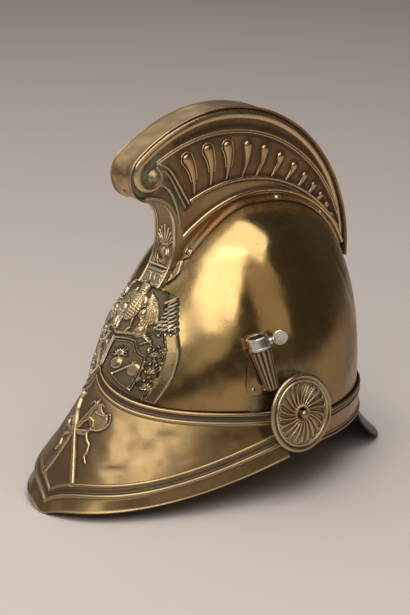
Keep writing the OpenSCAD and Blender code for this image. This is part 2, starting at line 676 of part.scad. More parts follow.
// Visor emblem: a crossed pike and axe tied with a ribbon
emblem_gap = 0.8;
module panel_bar(f0, v0, f1, v1, r, n = 1) {
    for (k = [0:n - 1])
        ball_bar(
            panel_pt(mix(f0, f1, k / n), mix(v0, v1, k / n), r + emblem_gap),
            panel_pt(mix(f0, f1, (k + 1) / n), mix(v0, v1, (k + 1) / n), r + emblem_gap), r, r, 4);
}
module visor_emblem() {
    color(brass) placed() union() {
        // Pike and axe
        panel_bar(-10, 0.1, 11, 0.88, 1.1, 4);
        panel_bar(-10, 0.86, 8, 0.12, 1.1, 4);
        // Blade of the axe
        panel_bar(7, 0.19, 13, 0.18, 1.1);
        panel_bar(13, 0.18, 13, 0.34, 1.1);
        panel_bar(13, 0.34, 5, 0.26, 1.1);
        // Loops and tails of the bow
        panel_bar(0, 0.46, 6, 0.33, 1.1);
        panel_bar(0, 0.46, -10, 0.4, 1.1);
        panel_bar(0, 0.47, 8, 0.5, 1.1);
        panel_bar(8, 0.5, 12, 0.68, 1.1);
        panel_bar(0, 0.47, -8, 0.5, 1.1);
        panel_bar(-8, 0.5, -10, 0.66, 1.1);
    }
}

// Rivets that join the visor and the neck guard to the skull, with heads inside
module shell_rivet(a, z) {
    p = skull_pt(a, z, -sheet - head_gap);
    along(p, -skull_normal(a, z)) rivet_head(2, 1);
}
module visor_rivets() {
    color(brass) placed() for (f = [-72, -54, -27, 27, 54, 72])
        shell_rivet(f - 90, brow_height(skull_half_w * abs(sin(f))) - 4);
}
module neck_guard_rivets() {
    color(brass) placed() {
        for (a = [18, 54, 126, 162]) shell_rivet(a, 55.5);
        for (s = [-1, 1]) for (a = [15, 35])
            shell_rivet(90 + s * a, (skull_bottom + neck_bottom) / 2);
    }
}

// Rosettes: a dished disc with spiral flutes, carried by a stud through the skull
rosette_x = skull_half_w + 6.6;
nut_h = 1.6;
nut_r = 4;
nut_x = side_x(-rosette_y - nut_r, rosette_z, -sheet) - head_gap - nut_h;
shank_r = stud_r - 0.35;
rosette_tilt = 8;
flute_twist = 16;
// Each ring: radius, height on a flute, height between flutes, share of the twist
rosette_rings = [
    [6.8, 2.9, 2.2, 0], [14, 3.4, 1.4, 0.4], [21.5, 2.8, 1, 1],
    [23.6, 3, 3, 1], [25.4, 1.8, 1.8, 1], [26.8, 2.8, 2.8, 1], [28.6, 1, 1, 1]
];
module rosette() {
    n = 2 * flutes;
    rings = rosette_rings;
    m = len(rings);
    grow = rosette_r / rings[m - 1][0];
    pts = [
        for (q = rings) for (j = [0:n - 1])
            let (a = 360 * j / n + flute_twist * q[3])
            [grow * q[0] * cos(a), grow * q[0] * sin(a), j % 2 == 0 ? q[1] : q[2]],
        for (j = [0:n - 1]) let (a = 360 * j / n + flute_twist) [rosette_r * cos(a), rosette_r * sin(a), 0],
        [0, 0, rings[0][1]],
        [0, 0, 0]
    ];
    faces = [
        for (r = [0:m - 1]) for (j = [0:n - 1])
            let (a = r * n + j, b = r * n + (j + 1) % n)
            each [[a, b, a + n], [b, b + n, a + n]],
        for (j = [0:n - 1])
            each [[(m + 1) * n, (j + 1) % n, j], [(m + 1) * n + 1, m * n + j, m * n + (j + 1) % n]]
    ];
    rotate([0, 90 - rosette_tilt, 0]) difference() {
        polyhedron(pts, faces, convexity = 4);
        translate([0, 0, -1]) cylinder(h = 9, r = stud_r + pin_gap, $fn = 32);
    }
}
module rosette_at() { translate([rosette_x, -rosette_y, rosette_z]) children(); }
module rosette_left() { color(brass) placed() rosette_at() rosette(); }
module rosette_right() { color(brass) placed() mirror([1, 0, 0]) rosette_at() rosette(); }
module rosette_studs() {
    color(brass) placed() for (s = [0, 1]) mirror([s, 0, 0]) rosette_at() {
        translate([nut_x - rosette_x - seam_gap, 0, 0]) rotate([0, 90, 0])
            cylinder(h = rosette_x - nut_x + seam_gap + 5, r = shank_r, $fn = 32);
        translate([4.6, 0, 0]) rotate([0, 90, 0]) cylinder(h = 2.6, r1 = 4.2, r2 = 2.4, $fn = 32);
    }
}
module rosette_nuts() {
    color(brass) placed() for (s = [0, 1]) mirror([s, 0, 0])
        translate([nut_x, -rosette_y, rosette_z]) rotate([0, 90, 0]) difference() {
            cylinder(h = nut_h, r = nut_r, $fn = 6);
            translate([0, 0, -1]) cylinder(h = nut_h + 2, r = shank_r + pin_gap, $fn = 32);
        }
}

// Plume socket
// The tube's mouth and foot stand off the skull's wall
mouth_y = -34.3;
mouth_z = 124.6;
mouth_stand = 15.95751;
foot_y = -27.2;
foot_z = 86;
foot_stand = 11.8827;
socket_mouth = [side_x(mouth_y, mouth_z, 0) + mouth_stand, mouth_y, mouth_z];
socket_foot = [side_x(foot_y, foot_z, 0) + foot_stand, foot_y, foot_z];
socket_axis = unit(socket_mouth - socket_foot);
screw_axis = unit([0.38, 0.9, 0.26]);
screw_drop = 6;
screw_origin = socket_mouth - socket_axis * screw_drop;
socket_ribs = 12;
collar_len = 9;
collar_wall = 1.6;
boss_drops = [17, 34];
patch_a = [-29.6, -20.4];
patch_z = [80, 112];
module socket_flutes() {
    // A tapering tube whose outline has round ribs
    n = socket_ribs * 4;
    function rib(b) = 1 + 0.07 * cos(socket_ribs * b);
    pts = [for (k = [0, 1]) for (j = [0:n - 1])
        let (b = 360 * j / n, r = (k == 0 ? socket_foot_r : socket_top_r - 0.6) * rib(b))
        [r * cos(b), r * sin(b), k == 0 ? -socket_len : -collar_len - seam_gap]];
    middles = [[0, 0, -socket_len], [0, 0, -collar_len - seam_gap]];
    polyhedron(concat(pts, middles), [
        for (j = [0:n - 1]) let (i = (j + 1) % n)
            each [[j, n + j, i], [i, n + j, n + i], [2 * n, j, i], [2 * n + 1, n + i, n + j]]
    ]);
}
// Direction straight out of the skull near p
function skull_out(p) =
    unit([for (d = [[0.5, 0, 0], [0, 0.5, 0], [0, 0, 0.5]]) skull_in(p + d, 0) - skull_in(p - d, 0)]);
// Point just off the bracket below the tube at p
function boss_foot(p) =
    let (d = skull_out(p), o = p - d * 30)
    o + d * (skull_hit(o, d, curve_gap + sheet + seam_gap, 0, 30) + 0.2);
module plume_socket() {
    color(dark_brass) placed() difference() {
        union() {
            along(socket_mouth, socket_axis) {
                socket_flutes();
                translate([0, 0, -collar_len - 2])
                    cylinder(h = collar_len + 2, r = socket_top_r - collar_wall, $fn = 48);
            }
            // Bosses that stand on the bracket
            for (drop = boss_drops) {
                p = socket_mouth - socket_axis * drop;
                q = boss_foot(p);
                along(p, q - p) cylinder(h = norm(q - p), r = 3.2, $fn = 8);
            }
        }
        along(socket_mouth, socket_axis)
            translate([0, 0, -bore_len]) cylinder(h = bore_len + 1, r = bore_r, $fn = 48);
        along(screw_origin, screw_axis) cylinder(h = 14, r = screw_r + pin_gap, $fn = 32);
    }
}
module socket_collar() {
    color(nickel) placed() difference() {
        union() {
            along(socket_mouth, socket_axis) difference() {
                translate([0, 0, -collar_len]) cylinder(h = collar_len, r = socket_top_r, $fn = 48);
                translate([0, 0, -16])
                    cylinder(h = 20, r = socket_top_r - collar_wall + pin_gap, $fn = 48);
            }
            along(screw_origin, screw_axis)
                translate([0, 0, socket_top_r - 0.9]) cylinder(h = 2.5, r = 2.8, $fn = 32);
        }
        along(screw_origin, screw_axis) cylinder(h = 20, r = screw_r + pin_gap, $fn = 32);
    }
}
module thumb_screw() {
    // A shank with a flat disc for the fingers
    color(nickel) placed() along(screw_origin, screw_axis) {
        translate([0, 0, bore_r + 0.2]) cylinder(h = 5.6, r = screw_r, $fn = 32);
        translate([0, 0, socket_top_r + 1.9]) cylinder(h = 1.4, r = 2.6, $fn = 32);
        difference() {
            translate([0, 0.9, socket_top_r + 8]) rotate([90, 0, 0]) cylinder(h = 1.8, r = disc_r, $fn = 48);
            translate([-9, -9, 0]) cube([18, 18, socket_top_r + 3]);
        }
    }
}
module socket_bracket() {
    // A patch on the skull that carries the tube
    function patch(g) = [for (k = [0:4]) [for (j = [0:4])
        skull_pt(mix(patch_a[0], patch_a[1], k / 4), mix(patch_z[0], patch_z[1], j / 4), curve_gap + g)]];
    color(dark_brass) placed() sheet_solid(patch(0), patch(sheet));
}
module socket_rivets() {
    color(brass) placed() for (a = [patch_a[0] + 2.4, patch_a[1] - 2.4], z = [patch_z[0] + 4]) {
        p = skull_pt(a, z, curve_gap + sheet + 0.2);
        along(p, skull_normal(a, z)) rivet_head(1.5, 1);
    }
}

// Leather liner
liner_cols = 40;
band_bottom = skull_bottom + 4;
// A ring of leather between two distances inside the brass
module liner_ring(heights, far, near) {
    function wall(g) = [for (k = [0:liner_cols - 1]) [for (z = heights)
        skull_pt(360 * k / liner_cols, z, -sheet - g)]];
    sheet_solid(wall(far), wall(near), ring = true);
}
module sweatband() {
    heights = [band_bottom, mix(band_bottom, band_top, 0.5), band_top];
    color(hide) placed() liner_ring(heights, band_gap + leather, band_gap);
}
module liner_binding() {
    // Folded strip that ties the sweatband to the skull's lower edge
    heights = [skull_bottom + 0.4, band_bottom + 0.6];
    color(hide) placed() liner_ring(heights, band_gap - seam_gap, seam_gap + 0.2);
}
// Point of a tongue: u runs across it, v from the band to the lace
function tongue_pt(a0, u, v, g) =
    let (a = a0 + u * 360 / tongues * (0.46 - 0.12 * v))
    let (z = mix(band_top + 0.4, lace_z, sin(90 * v)))
    let (p = skull_pt(a, z, -sheet - band_gap - g - 10 * v))
    let (c = [0, axis_y(z), z])
    mix(p, c + lace_r * unit([p[0] - c[0], p[1] - c[1], 0]), v * v);
module liner_crown() {
    // Tongues that rise from the band and meet at the lace
    color(hide) placed() for (k = [0:tongues - 1]) {
        a0 = 360 * k / tongues;
        outer = [for (u = [-1, 0, 1]) [for (v = [0:0.25:1]) tongue_pt(a0, u, v, 0)]];
        inner = [for (u = [-1, 0, 1]) [for (v = [0:0.25:1]) tongue_pt(a0, u, v, leather)]];
        sheet_solid(inner, outer);
    }
}
module liner_lace() {
    color(hide) placed() translate([0, axis_y(lace_z), lace_z + 2.2]) rotate_extrude($fn = 28)
        translate([lace_r, 0]) circle(1.4, $fn = 6);
}
module liner_rivets() {
    color(brass) placed() for (a = [0, 45, 90, 135, 180, 225, 315]) {
        p = skull_pt(a, 58, -sheet - band_gap - leather - curve_gap);
        along(p, -skull_normal(a, 58)) rivet_head(2, 0.8);
    }
}

skull();
visor();
neck_guard();
neck_flap();
crest_left_side();
crest_right_side();
crest_top_strip();
crest_front_column();
crest_rivets();
front_plate();
front_plate_pins();
visor_emblem();
visor_rivets();
neck_guard_rivets();
rosette_left();
rosette_right();
rosette_studs();
rosette_nuts();
plume_socket();
socket_bracket();
socket_collar();
socket_rivets();
thumb_screw();
sweatband();
liner_binding();
liner_crown();
liner_lace();
liner_rivets();
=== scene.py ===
import math
import bpy
import numpy as np
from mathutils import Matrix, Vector


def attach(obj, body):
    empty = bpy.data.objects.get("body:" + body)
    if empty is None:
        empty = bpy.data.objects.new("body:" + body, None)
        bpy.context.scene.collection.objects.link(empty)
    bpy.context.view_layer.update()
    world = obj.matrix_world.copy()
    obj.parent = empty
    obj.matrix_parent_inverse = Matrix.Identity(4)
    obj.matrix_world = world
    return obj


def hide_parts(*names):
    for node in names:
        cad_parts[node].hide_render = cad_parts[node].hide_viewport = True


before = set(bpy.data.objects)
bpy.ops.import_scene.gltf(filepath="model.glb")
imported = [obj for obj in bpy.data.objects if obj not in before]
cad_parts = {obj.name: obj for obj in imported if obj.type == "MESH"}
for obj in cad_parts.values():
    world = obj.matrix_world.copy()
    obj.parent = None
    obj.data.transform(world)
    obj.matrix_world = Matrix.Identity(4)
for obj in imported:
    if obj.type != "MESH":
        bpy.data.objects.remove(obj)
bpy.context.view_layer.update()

# azimuths in degrees from the visor towards the helmet's left, distances in metres
view = {"azimuth": 50.51, "elevation": 18.51, "distance": 1.8321, "aim": (0, 0, 0.1216), "lens": 146.2, "sensor": 36,
        "farthest": 20}
lampAim = Vector((0, 0, 0.13))
softboxes = {  # azimuth, elevation, distance, width, height, watts and tint
    "keyBox": (42, 50, 1.6, 1.15, 1.42, 14, (1, 0.96, 0.9)),
    "topBox": (42, 85, 1.5, 2.1, 0.85, 11.5, (1, 0.96, 0.9)),
    "faceBox": (54, 18, 2.2, 0.7, 0.6, 0.65, (1, 0.95, 0.8)),
    "sideBox": (98, 33, 1.7, 0.8, 1.4, 1.5, (1, 0.86, 0.7)),
    "fillBox": (-55, 34, 1.8, 1.4, 1.4, 4.6, (1, 0.96, 0.92)),
    "frontBox": (-8, 14, 1.9, 0.9, 0.8, 1.2, (1, 0.93, 0.84)),
    "leftBox": (-108, 40, 1.8, 1.2, 1.2, 3, (1, 0.94, 0.87)),
    "rimBox": (220, 35, 1.9, 0.9, 1.2, 0.9, (1, 0.95, 0.9)),
}
studio = {"worldTone": (0.06, 0.056, 0.052, 1), "floorTone": (0.7, 0.637, 0.605, 1), "floorRough": 0.6, "floorSize": 12}


def wayTo(azimuth, elevation):
    a, e = math.radians(azimuth), math.radians(elevation)
    return Vector((math.sin(a) * math.cos(e), -math.cos(a) * math.cos(e), math.sin(e)))


toCamera = wayTo(view["azimuth"], view["elevation"])
bpy.ops.object.camera_add(location=Vector(view["aim"]) + toCamera * view["distance"])
camera = bpy.context.object
camera.rotation_euler = toCamera.to_track_quat("Z", "Y").to_euler()
camera.data.lens = view["lens"]
camera.data.sensor_width = view["sensor"]
camera.data.clip_end = view["farthest"]
bpy.context.scene.camera = camera
bpy.context.scene.view_settings.view_transform = "Standard"

for boxName, (azimuth, elevation, distance, width, height, watts, tint) in softboxes.items():
    toLamp = wayTo(azimuth, elevation)
    bpy.ops.object.light_add(type="AREA", location=lampAim + toLamp * distance)
    lamp = bpy.context.object
    lamp.name = boxName
    lamp.rotation_euler = toLamp.to_track_quat("Z", "Y").to_euler()
    lamp.data.shape = "RECTANGLE"
    lamp.data.size, lamp.data.size_y = width, height
    lamp.data.energy = watts
    lamp.data.color = tint

world = bpy.data.worlds.new("studio")
bpy.context.scene.world = world
world.use_nodes = True
world.node_tree.nodes["Background"].inputs["Color"].default_value = studio["worldTone"]
world.node_tree.nodes["Background"].inputs["Strength"].default_value = 1.0
print("studio set up")

# from here on shapes are in mm, with y = 0 on the skull's axis and +x to the helmet's left
midY = 14.9  # the skull's axis lies this far behind the frame's origin


def toMetres(points):
    out = np.array(points, float).reshape(-1, 3)
    out[:, 1] += midY
    return out / 1000


def pick(piece):
    bpy.ops.object.select_all(action="DESELECT")
    piece.select_set(True)
    bpy.context.view_layer.objects.active = piece


def newest(name):
    # the object that the last operator made
    piece = bpy.context.object
    piece.name = piece.data.name = name
    return piece


def finishWith(piece, kind, **settings):
    pick(piece)
    modifier = piece.modifiers.new(kind.title(), kind)
    for key, value in settings.items():
        setattr(modifier, key, value)
    bpy.ops.object.modifier_apply(modifier=modifier.name)


def drilled(piece, radius, depth, **placing):
    bpy.ops.mesh.primitive_cylinder_add(vertices=32, radius=radius, depth=depth, **placing)
    drill = bpy.context.object
    finishWith(piece, "BOOLEAN", object=drill, operation="DIFFERENCE", solver="EXACT")
    bpy.data.objects.remove(drill)


def inEditMode(piece, *steps):
    pick(piece)
    bpy.ops.object.mode_set(mode="EDIT")
    bpy.ops.mesh.select_all(action="SELECT")
    for step in steps:
        step()
    bpy.ops.object.mode_set(mode="OBJECT")


def weld(piece, reach=0.00002):
    inEditMode(piece, lambda: bpy.ops.mesh.remove_doubles(threshold=reach))


def faceOutwards():
    bpy.ops.mesh.normals_make_consistent(inside=False)


def faceAwayFrom(piece, inner):
    # turns the faces of a sheet or shell so that they look away from a point inside it
    mesh = piece.data
    normals, middles = np.empty(len(mesh.polygons) * 3), np.empty(len(mesh.polygons) * 3)
    mesh.polygons.foreach_get("normal", normals)
    mesh.polygons.foreach_get("center", middles)
    away = middles.reshape(-1, 3) - toMetres([inner])[0]
    if (normals.reshape(-1, 3) * away).sum() < 0:
        inEditMode(piece, lambda: bpy.ops.mesh.flip_normals())


def smooth(piece, angle=40):
    pick(piece)
    bpy.ops.object.shade_smooth_by_angle(angle=math.radians(angle))


def blur(values, times):
    out = np.array(values, float)
    for _ in range(times):
        padded = np.pad(out, 1, mode="edge")
        out = (padded[1:-1, :-2] + padded[1:-1, 2:] + padded[:-2, 1:-1] + padded[2:, 1:-1] + 4 * out) / 8
    return out


def mark(piece, name, values):
    # a level from 0 to 1 at every vertex, which the finishes read
    count = len(piece.data.vertices)
    layer = piece.data.attributes.new(name, "FLOAT", "POINT")
    layer.data.foreach_set("value", np.clip(np.broadcast_to(values, count), 0, 1).astype(np.float32))


def bare(piece, hollow=0.0, ridge=0.0, green=0.0):
    for key, level in (("hollow", hollow), ("ridge", ridge), ("green", green)):
        mark(piece, key, level)
    return piece


def outwards(points, inner):
    # unit normals of a grid of points, pointing away from the inner point
    du, dv = np.gradient(points, axis=1), np.gradient(points, axis=0)
    normal = np.cross(du, dv)
    normal /= np.maximum(np.linalg.norm(normal, axis=2, keepdims=True), 1e-9)
    if (normal * (points - np.array(inner, float))).sum() < 0:
        normal = -normal
    return normal


def gridOf(name, columns, rows):
    # a flat grid, with the share across and along it at each of its vertices
    bpy.ops.mesh.primitive_grid_add(x_subdivisions=columns, y_subdivisions=rows, size=2)
    piece = newest(name)
    flat = np.empty(len(piece.data.vertices) * 3)
    piece.data.vertices.foreach_get("co", flat)
    return piece, (flat[0::3] + 1) / 2, (flat[1::3] + 1) / 2


def pressedSheet(name, columns, rows, shape, inner, thickness, relief=None, extra=None, closed=False, hollowScale=0.5):
    # a grid bent to shape(u, v), embossed by relief(u, v, points) in mm, then given its wall;
    # extra(u, v, points, marks) sets the levels for the finish
    piece, across, along = gridOf(name, columns, rows)
    i, j = np.rint(across * columns).astype(int), np.rint(along * rows).astype(int)
    u, v = np.meshgrid(np.linspace(0, 1, columns + 1), np.linspace(0, 1, rows + 1))
    points = shape(u, v)
    marks = {"hollow": 0, "ridge": 0, "green": 0}
    if relief is not None:
        height = relief(u, v, points)
        points = points + outwards(points, inner) * height[..., None]
        lift = height - blur(height, 14)
        marks["hollow"] = np.clip(-lift / hollowScale, 0, 1)
        marks["ridge"] = np.clip(lift / hollowScale, 0, 1)
    if extra is not None:
        marks.update(extra(u, v, points, marks))
    piece.data.vertices.foreach_set("co", toMetres(points[j, i]).ravel())
    for key, values in marks.items():
        mark(piece, key, np.broadcast_to(values, u.shape)[j, i])
    piece.data.update()
    if closed:
        weld(piece)
    faceAwayFrom(piece, inner)
    finishWith(piece, "SOLIDIFY", thickness=thickness / 1000, offset=-1)
    smooth(piece)
    return piece


def closedTube(name, columns, rows, shape, marks=None):
    # a grid bent to shape(u, v) and closed round v; its ends shrink to points or meet
    piece, u, v = gridOf(name, columns, rows)
    piece.data.vertices.foreach_set("co", toMetres(shape(u, v)).ravel())
    levels = marks(u, v) if marks else {"hollow": 0, "ridge": 0, "green": 0}
    for key, values in levels.items():
        mark(piece, key, values)
    piece.data.update()
    weld(piece)
    inEditMode(piece, faceOutwards)
    smooth(piece, 60)
    return piece


def turned(name, profile, foot, axis, steps=48, angle=40):
    # an outline of (radius, height) points, spun round an axis that stands on a foot point
    bpy.ops.mesh.primitive_circle_add(vertices=len(profile), radius=1)
    piece = newest(name)
    inEditMode(piece, lambda: bpy.ops.mesh.delete(type="EDGE_FACE"))
    places = np.array([[r, 0, h] for r, h in profile]) / 1000
    piece.data.vertices.foreach_set("co", places.ravel())
    piece.data.edges.add(len(profile) - 1)
    piece.data.edges.foreach_set("vertices", [k + n for k in range(len(profile) - 1) for n in (0, 1)])
    piece.data.update()
    inEditMode(
        piece,
        lambda: bpy.ops.mesh.spin(steps=steps, angle=2 * math.pi, center=(0, 0, 0), axis=(0, 0, 1)),
        lambda: bpy.ops.mesh.select_all(action="SELECT"),
        lambda: bpy.ops.mesh.remove_doubles(threshold=0.000004),
        faceOutwards,
    )
    stand(piece, foot, axis)
    smooth(piece, angle)
    return piece


def stand(piece, foot, axis):
    # moves a small part from the origin onto its foot point, upright along the axis
    turn = Vector(axis).normalized().to_track_quat("Z", "Y").to_matrix().to_4x4()
    turn.translation = toMetres([foot])[0]
    piece.data.transform(turn)


def joined(name, pieces):
    pick(pieces[0])
    for piece in pieces:
        piece.select_set(True)
    if len(pieces) > 1:
        bpy.ops.object.join()
    pieces[0].name = pieces[0].data.name = name
    return pieces[0]


def copyOf(piece, name):
    twin = piece.copy()
    twin.data = piece.data.copy()
    twin.name = twin.data.name = name
    bpy.context.collection.objects.link(twin)
    return twin


def copiesAt(model, name, spots):
    # one copy of a small part on every spot, given as its place and its upward direction
    made = []
    for k, (place, way) in enumerate(spots):
        twin = copyOf(model, name + str(k))
        stand(twin, place, way)
        made.append(twin)
    bpy.data.objects.remove(model)
    return joined(name, made)


def mirrored(piece, name):
    twin = copyOf(piece, name)
    flat = np.empty(len(twin.data.vertices) * 3)
    twin.data.vertices.foreach_get("co", flat)
    flat[0::3] *= -1
    twin.data.vertices.foreach_set("co", flat)
    inEditMode(twin, lambda: bpy.ops.mesh.flip_normals())
    return twin


def dress(piece, finish, node, body="helmet"):
    piece.data.materials.clear()
    piece.data.materials.append(finish)
    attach(piece, body)
    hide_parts(node)


def fill(tree, socket, value):
    if hasattr(value, "is_output"):
        tree.links.new(value, socket)
    else:
        socket.default_value = value


def putNode(tree, kind, inputs=None, **settings):
    node = tree.nodes.new(kind)
    for key, value in settings.items():
        setattr(node, key, value)
    for key, value in (inputs or {}).items():
        fill(tree, node.inputs[key], value)
    return node


def mixColour(tree, share, first, second):
    node = putNode(tree, "ShaderNodeMix", data_type="RGBA", blend_type="MIX")
    first, second = ((*tone, 1) if isinstance(tone, tuple) else tone for tone in (first, second))
    for key, value in ((0, share), (6, first), (7, second)):
        fill(tree, node.inputs[key], value)
    return node.outputs[2]


def maths(tree, how, first, second, clamp=False):
    return putNode(tree, "ShaderNodeMath", {0: first, 1: second}, operation=how, use_clamp=clamp).outputs[0]


def ranged(tree, value, **limits):
    inputs = {"Value": value, **{key.replace("_", " "): level for key, level in limits.items()}}
    return putNode(tree, "ShaderNodeMapRange", inputs).outputs[0]


def levelOf(tree, name):
    return putNode(tree, "ShaderNodeAttribute", attribute_name=name).outputs["Fac"]


def patches(tree, place, scale, low, high, detail=4, rough=0.55, stretch=(1, 1, 1), turn=(0, 0, 0)):
    # soft patches from 0 to 1, in the piece's own coordinates
    mapping = putNode(tree, "ShaderNodeMapping", {"Vector": place, "Scale": stretch, "Rotation": turn})
    noise = putNode(tree, "ShaderNodeTexNoise",
                    {"Vector": mapping.outputs[0], "Scale": scale, "Detail": detail, "Roughness": rough})
    return putNode(tree, "ShaderNodeMapRange", {"Value": noise.outputs[0], "From Min": low, "From Max": high},
                   interpolation_type="SMOOTHSTEP").outputs[0]


def embossed(tree, height, strength, distance, under=None):
    inputs = {"Height": height, "Strength": strength, "Distance": distance}
    if under is not None:
        inputs["Normal"] = under
    return putNode(tree, "ShaderNodeBump", inputs).outputs[0]


def newFinish(name):
    finish = bpy.data.materials.new(name)
    finish.use_nodes = True
    tree = finish.node_tree
    return finish, tree, tree.nodes["Principled BSDF"], putNode(tree, "ShaderNodeTexCoord").outputs["Object"]


# what every brass has unless its own finish says otherwise
# the grime and tarnish tones are also the colours of painted shade
plainBrass = {"grimeTone": (0.045, 0.028, 0.013), "tarnishAndShadeTone": (0.19, 0.115, 0.055), "greenTone": (0.25, 0.31, 0.235),
              "broadScale": 12, "cloudScale": 34, "fineScale": 150, "pitScale": 520, "bloomScale": 210,
              "stain": 0.35, "edge": 0.6, "grime": 0.92, "rough": (0.2, 0.36), "dents": 0.25, "dentScale": 30,
              "grain": 0.1, "grainScale": 600, "hairs": 0.06, "hairScale": 130}


def agedBrass(name, **own):
    look = {**plainBrass, **own}
    finish, tree, shader, place = newFinish(name)
    hollow, ridge, green, tarnish = (levelOf(tree, key) for key in ("hollow", "ridge", "green", "tarnish"))

    def times(first, second):
        return maths(tree, "MULTIPLY", first, second)

    def plus(first, second, clamp=False):
        return maths(tree, "ADD", first, second, clamp)

    broad = patches(tree, place, look["broadScale"], 0.3, 0.72, 2)
    cloudy = patches(tree, place, look["cloudScale"], 0.34, 0.76, 4, 0.6)
    fine = patches(tree, place, look["fineScale"], 0.4, 0.8, 4)
    pits = patches(tree, place, look["pitScale"], 0.64, 0.76, 2)
    bloom = patches(tree, place, look["bloomScale"], 0.36, 0.6, 4)
    # metal, stains, tarnish with painted shade, rubbed edges, grime and patina in the hollows with painted shade round
    # raised parts and joins, and verdigris, one over the other
    tarnish = times(tarnish, plus(times(cloudy, 0.35), 0.65))
    grime = plus(times(hollow, look["grime"]), times(pits, 0.3), True)
    verdigris = maths(tree, "MULTIPLY", green, plus(times(bloom, 0.8), 0.1), True)
    colour = mixColour(tree, broad, look["tone"], look["otherTone"])
    for share, tone in ((times(cloudy, look["stain"]), look["stainTone"]), (tarnish, look["tarnishAndShadeTone"]),
                        (times(ridge, look["edge"]), look["edgeTone"]), (grime, look["grimeTone"]),
                        (verdigris, look["greenTone"])):
        colour = mixColour(tree, share, colour, tone)
    fill(tree, shader.inputs["Base Color"], colour)
    dull = maths(tree, "MAXIMUM", verdigris, times(grime, 0.7))
    fill(tree, shader.inputs["Metallic"], maths(tree, "SUBTRACT", 1.0, times(dull, 0.8)))
    rough = ranged(tree, cloudy, To_Min=look["rough"][0], To_Max=look["rough"][1])
    rough = plus(plus(rough, times(fine, 0.05)), times(tarnish, 0.12))
    fill(tree, shader.inputs["Roughness"], plus(rough, times(dull, 0.35), True))
    # hand-worked waves, a fine grain and hair scratches
    waves = putNode(tree, "ShaderNodeTexNoise", {"Vector": place, "Scale": look["dentScale"], "Detail": 1.0})
    grain = putNode(tree, "ShaderNodeTexNoise", {"Vector": place, "Scale": look["grainScale"], "Detail": 3.0})
    hairs = patches(tree, place, look["hairScale"], 0.66, 0.7, 2, 0.5, (1, 0.05, 1), (0.9, 0.5, 0.4))
    surface = embossed(tree, waves.outputs[0], look["dents"], 0.004)
    surface = embossed(tree, grain.outputs[0], look["grain"], 0.0004, surface)
    fill(tree, shader.inputs["Normal"], embossed(tree, hairs, look["hairs"], 0.0002, surface))
    return finish


skullBrass = agedBrass(
    "skullBrass", tone=(0.56, 0.39, 0.165), otherTone=(0.47, 0.29, 0.12), stainTone=(0.36, 0.25, 0.11),
    edgeTone=(0.7, 0.54, 0.3), rough=(0.11, 0.22), dents=0.08, broadScale=8, stain=0.28, grain=0.06)
# the visor's tones are darker than the skull's: partly its own duller brass, partly painted shade that tones down the
# key lamp's reflection in the panel
visorBrass = agedBrass(
    "visorBrass", tone=(0.41, 0.295, 0.13), otherTone=(0.34, 0.235, 0.105), stainTone=(0.22, 0.155, 0.085),
    edgeTone=(0.86, 0.7, 0.46), grimeTone=(0.05, 0.033, 0.024), rough=(0.24, 0.38), stain=0.45)
guardBrass = agedBrass(
    "guardBrass", tone=(0.34, 0.235, 0.14), otherTone=(0.28, 0.185, 0.12), stainTone=(0.22, 0.14, 0.095),
    edgeTone=(0.62, 0.5, 0.36), rough=(0.26, 0.42))
# very dark tones: painted shade on the flap's underside, which faces the floor, over dull unpolished brass
flapShadedBrass = agedBrass(
    "flapShadedBrass", tone=(0.095, 0.068, 0.046), otherTone=(0.06, 0.045, 0.034), stainTone=(0.13, 0.095, 0.066),
    edgeTone=(0.4, 0.34, 0.26), grimeTone=(0.026, 0.019, 0.013), rough=(0.28, 0.46))
crestBrass = agedBrass(
    "crestBrass", tone=(0.54, 0.37, 0.18), otherTone=(0.44, 0.28, 0.135), stainTone=(0.26, 0.165, 0.09),
    edgeTone=(0.86, 0.68, 0.43), grimeTone=(0.042, 0.026, 0.014), edge=0.8)
stripBrass = agedBrass(
    "stripBrass", tone=(0.62, 0.45, 0.235), otherTone=(0.5, 0.335, 0.18), stainTone=(0.27, 0.175, 0.115),
    edgeTone=(0.86, 0.71, 0.49), rough=(0.27, 0.42), dents=0.5, stain=0.6)
ornamentBrass = agedBrass(
    "ornamentBrass", tone=(0.56, 0.41, 0.205), otherTone=(0.46, 0.325, 0.16), stainTone=(0.28, 0.19, 0.1),
    edgeTone=(1.0, 0.87, 0.64), grimeTone=(0.03, 0.021, 0.011), edge=0.95, grime=1.0)
rivetBrass = agedBrass(
    "rivetBrass", tone=(0.54, 0.42, 0.22), otherTone=(0.42, 0.31, 0.16), stainTone=(0.3, 0.22, 0.12),
    edgeTone=(0.85, 0.7, 0.45), rough=(0.2, 0.34))
rosetteBrass = agedBrass(
    "rosetteBrass", tone=(0.44, 0.315, 0.165), otherTone=(0.35, 0.245, 0.135), stainTone=(0.2, 0.14, 0.085),
    edgeTone=(0.92, 0.77, 0.54), grimeTone=(0.04, 0.027, 0.017), rough=(0.2, 0.38), edge=0.95)
socketBrass = agedBrass(
    "socketBrass", tone=(0.16, 0.105, 0.055), otherTone=(0.105, 0.07, 0.04), stainTone=(0.08, 0.055, 0.035),
    edgeTone=(0.55, 0.43, 0.27), grimeTone=(0.018, 0.013, 0.009), rough=(0.22, 0.38), edge=0.8)
nickelFinish = agedBrass(
    "nickelFinish", tone=(0.58, 0.56, 0.51), otherTone=(0.45, 0.43, 0.38), stainTone=(0.24, 0.21, 0.17),
    edgeTone=(0.88, 0.86, 0.81), grimeTone=(0.07, 0.06, 0.05), rough=(0.18, 0.36))


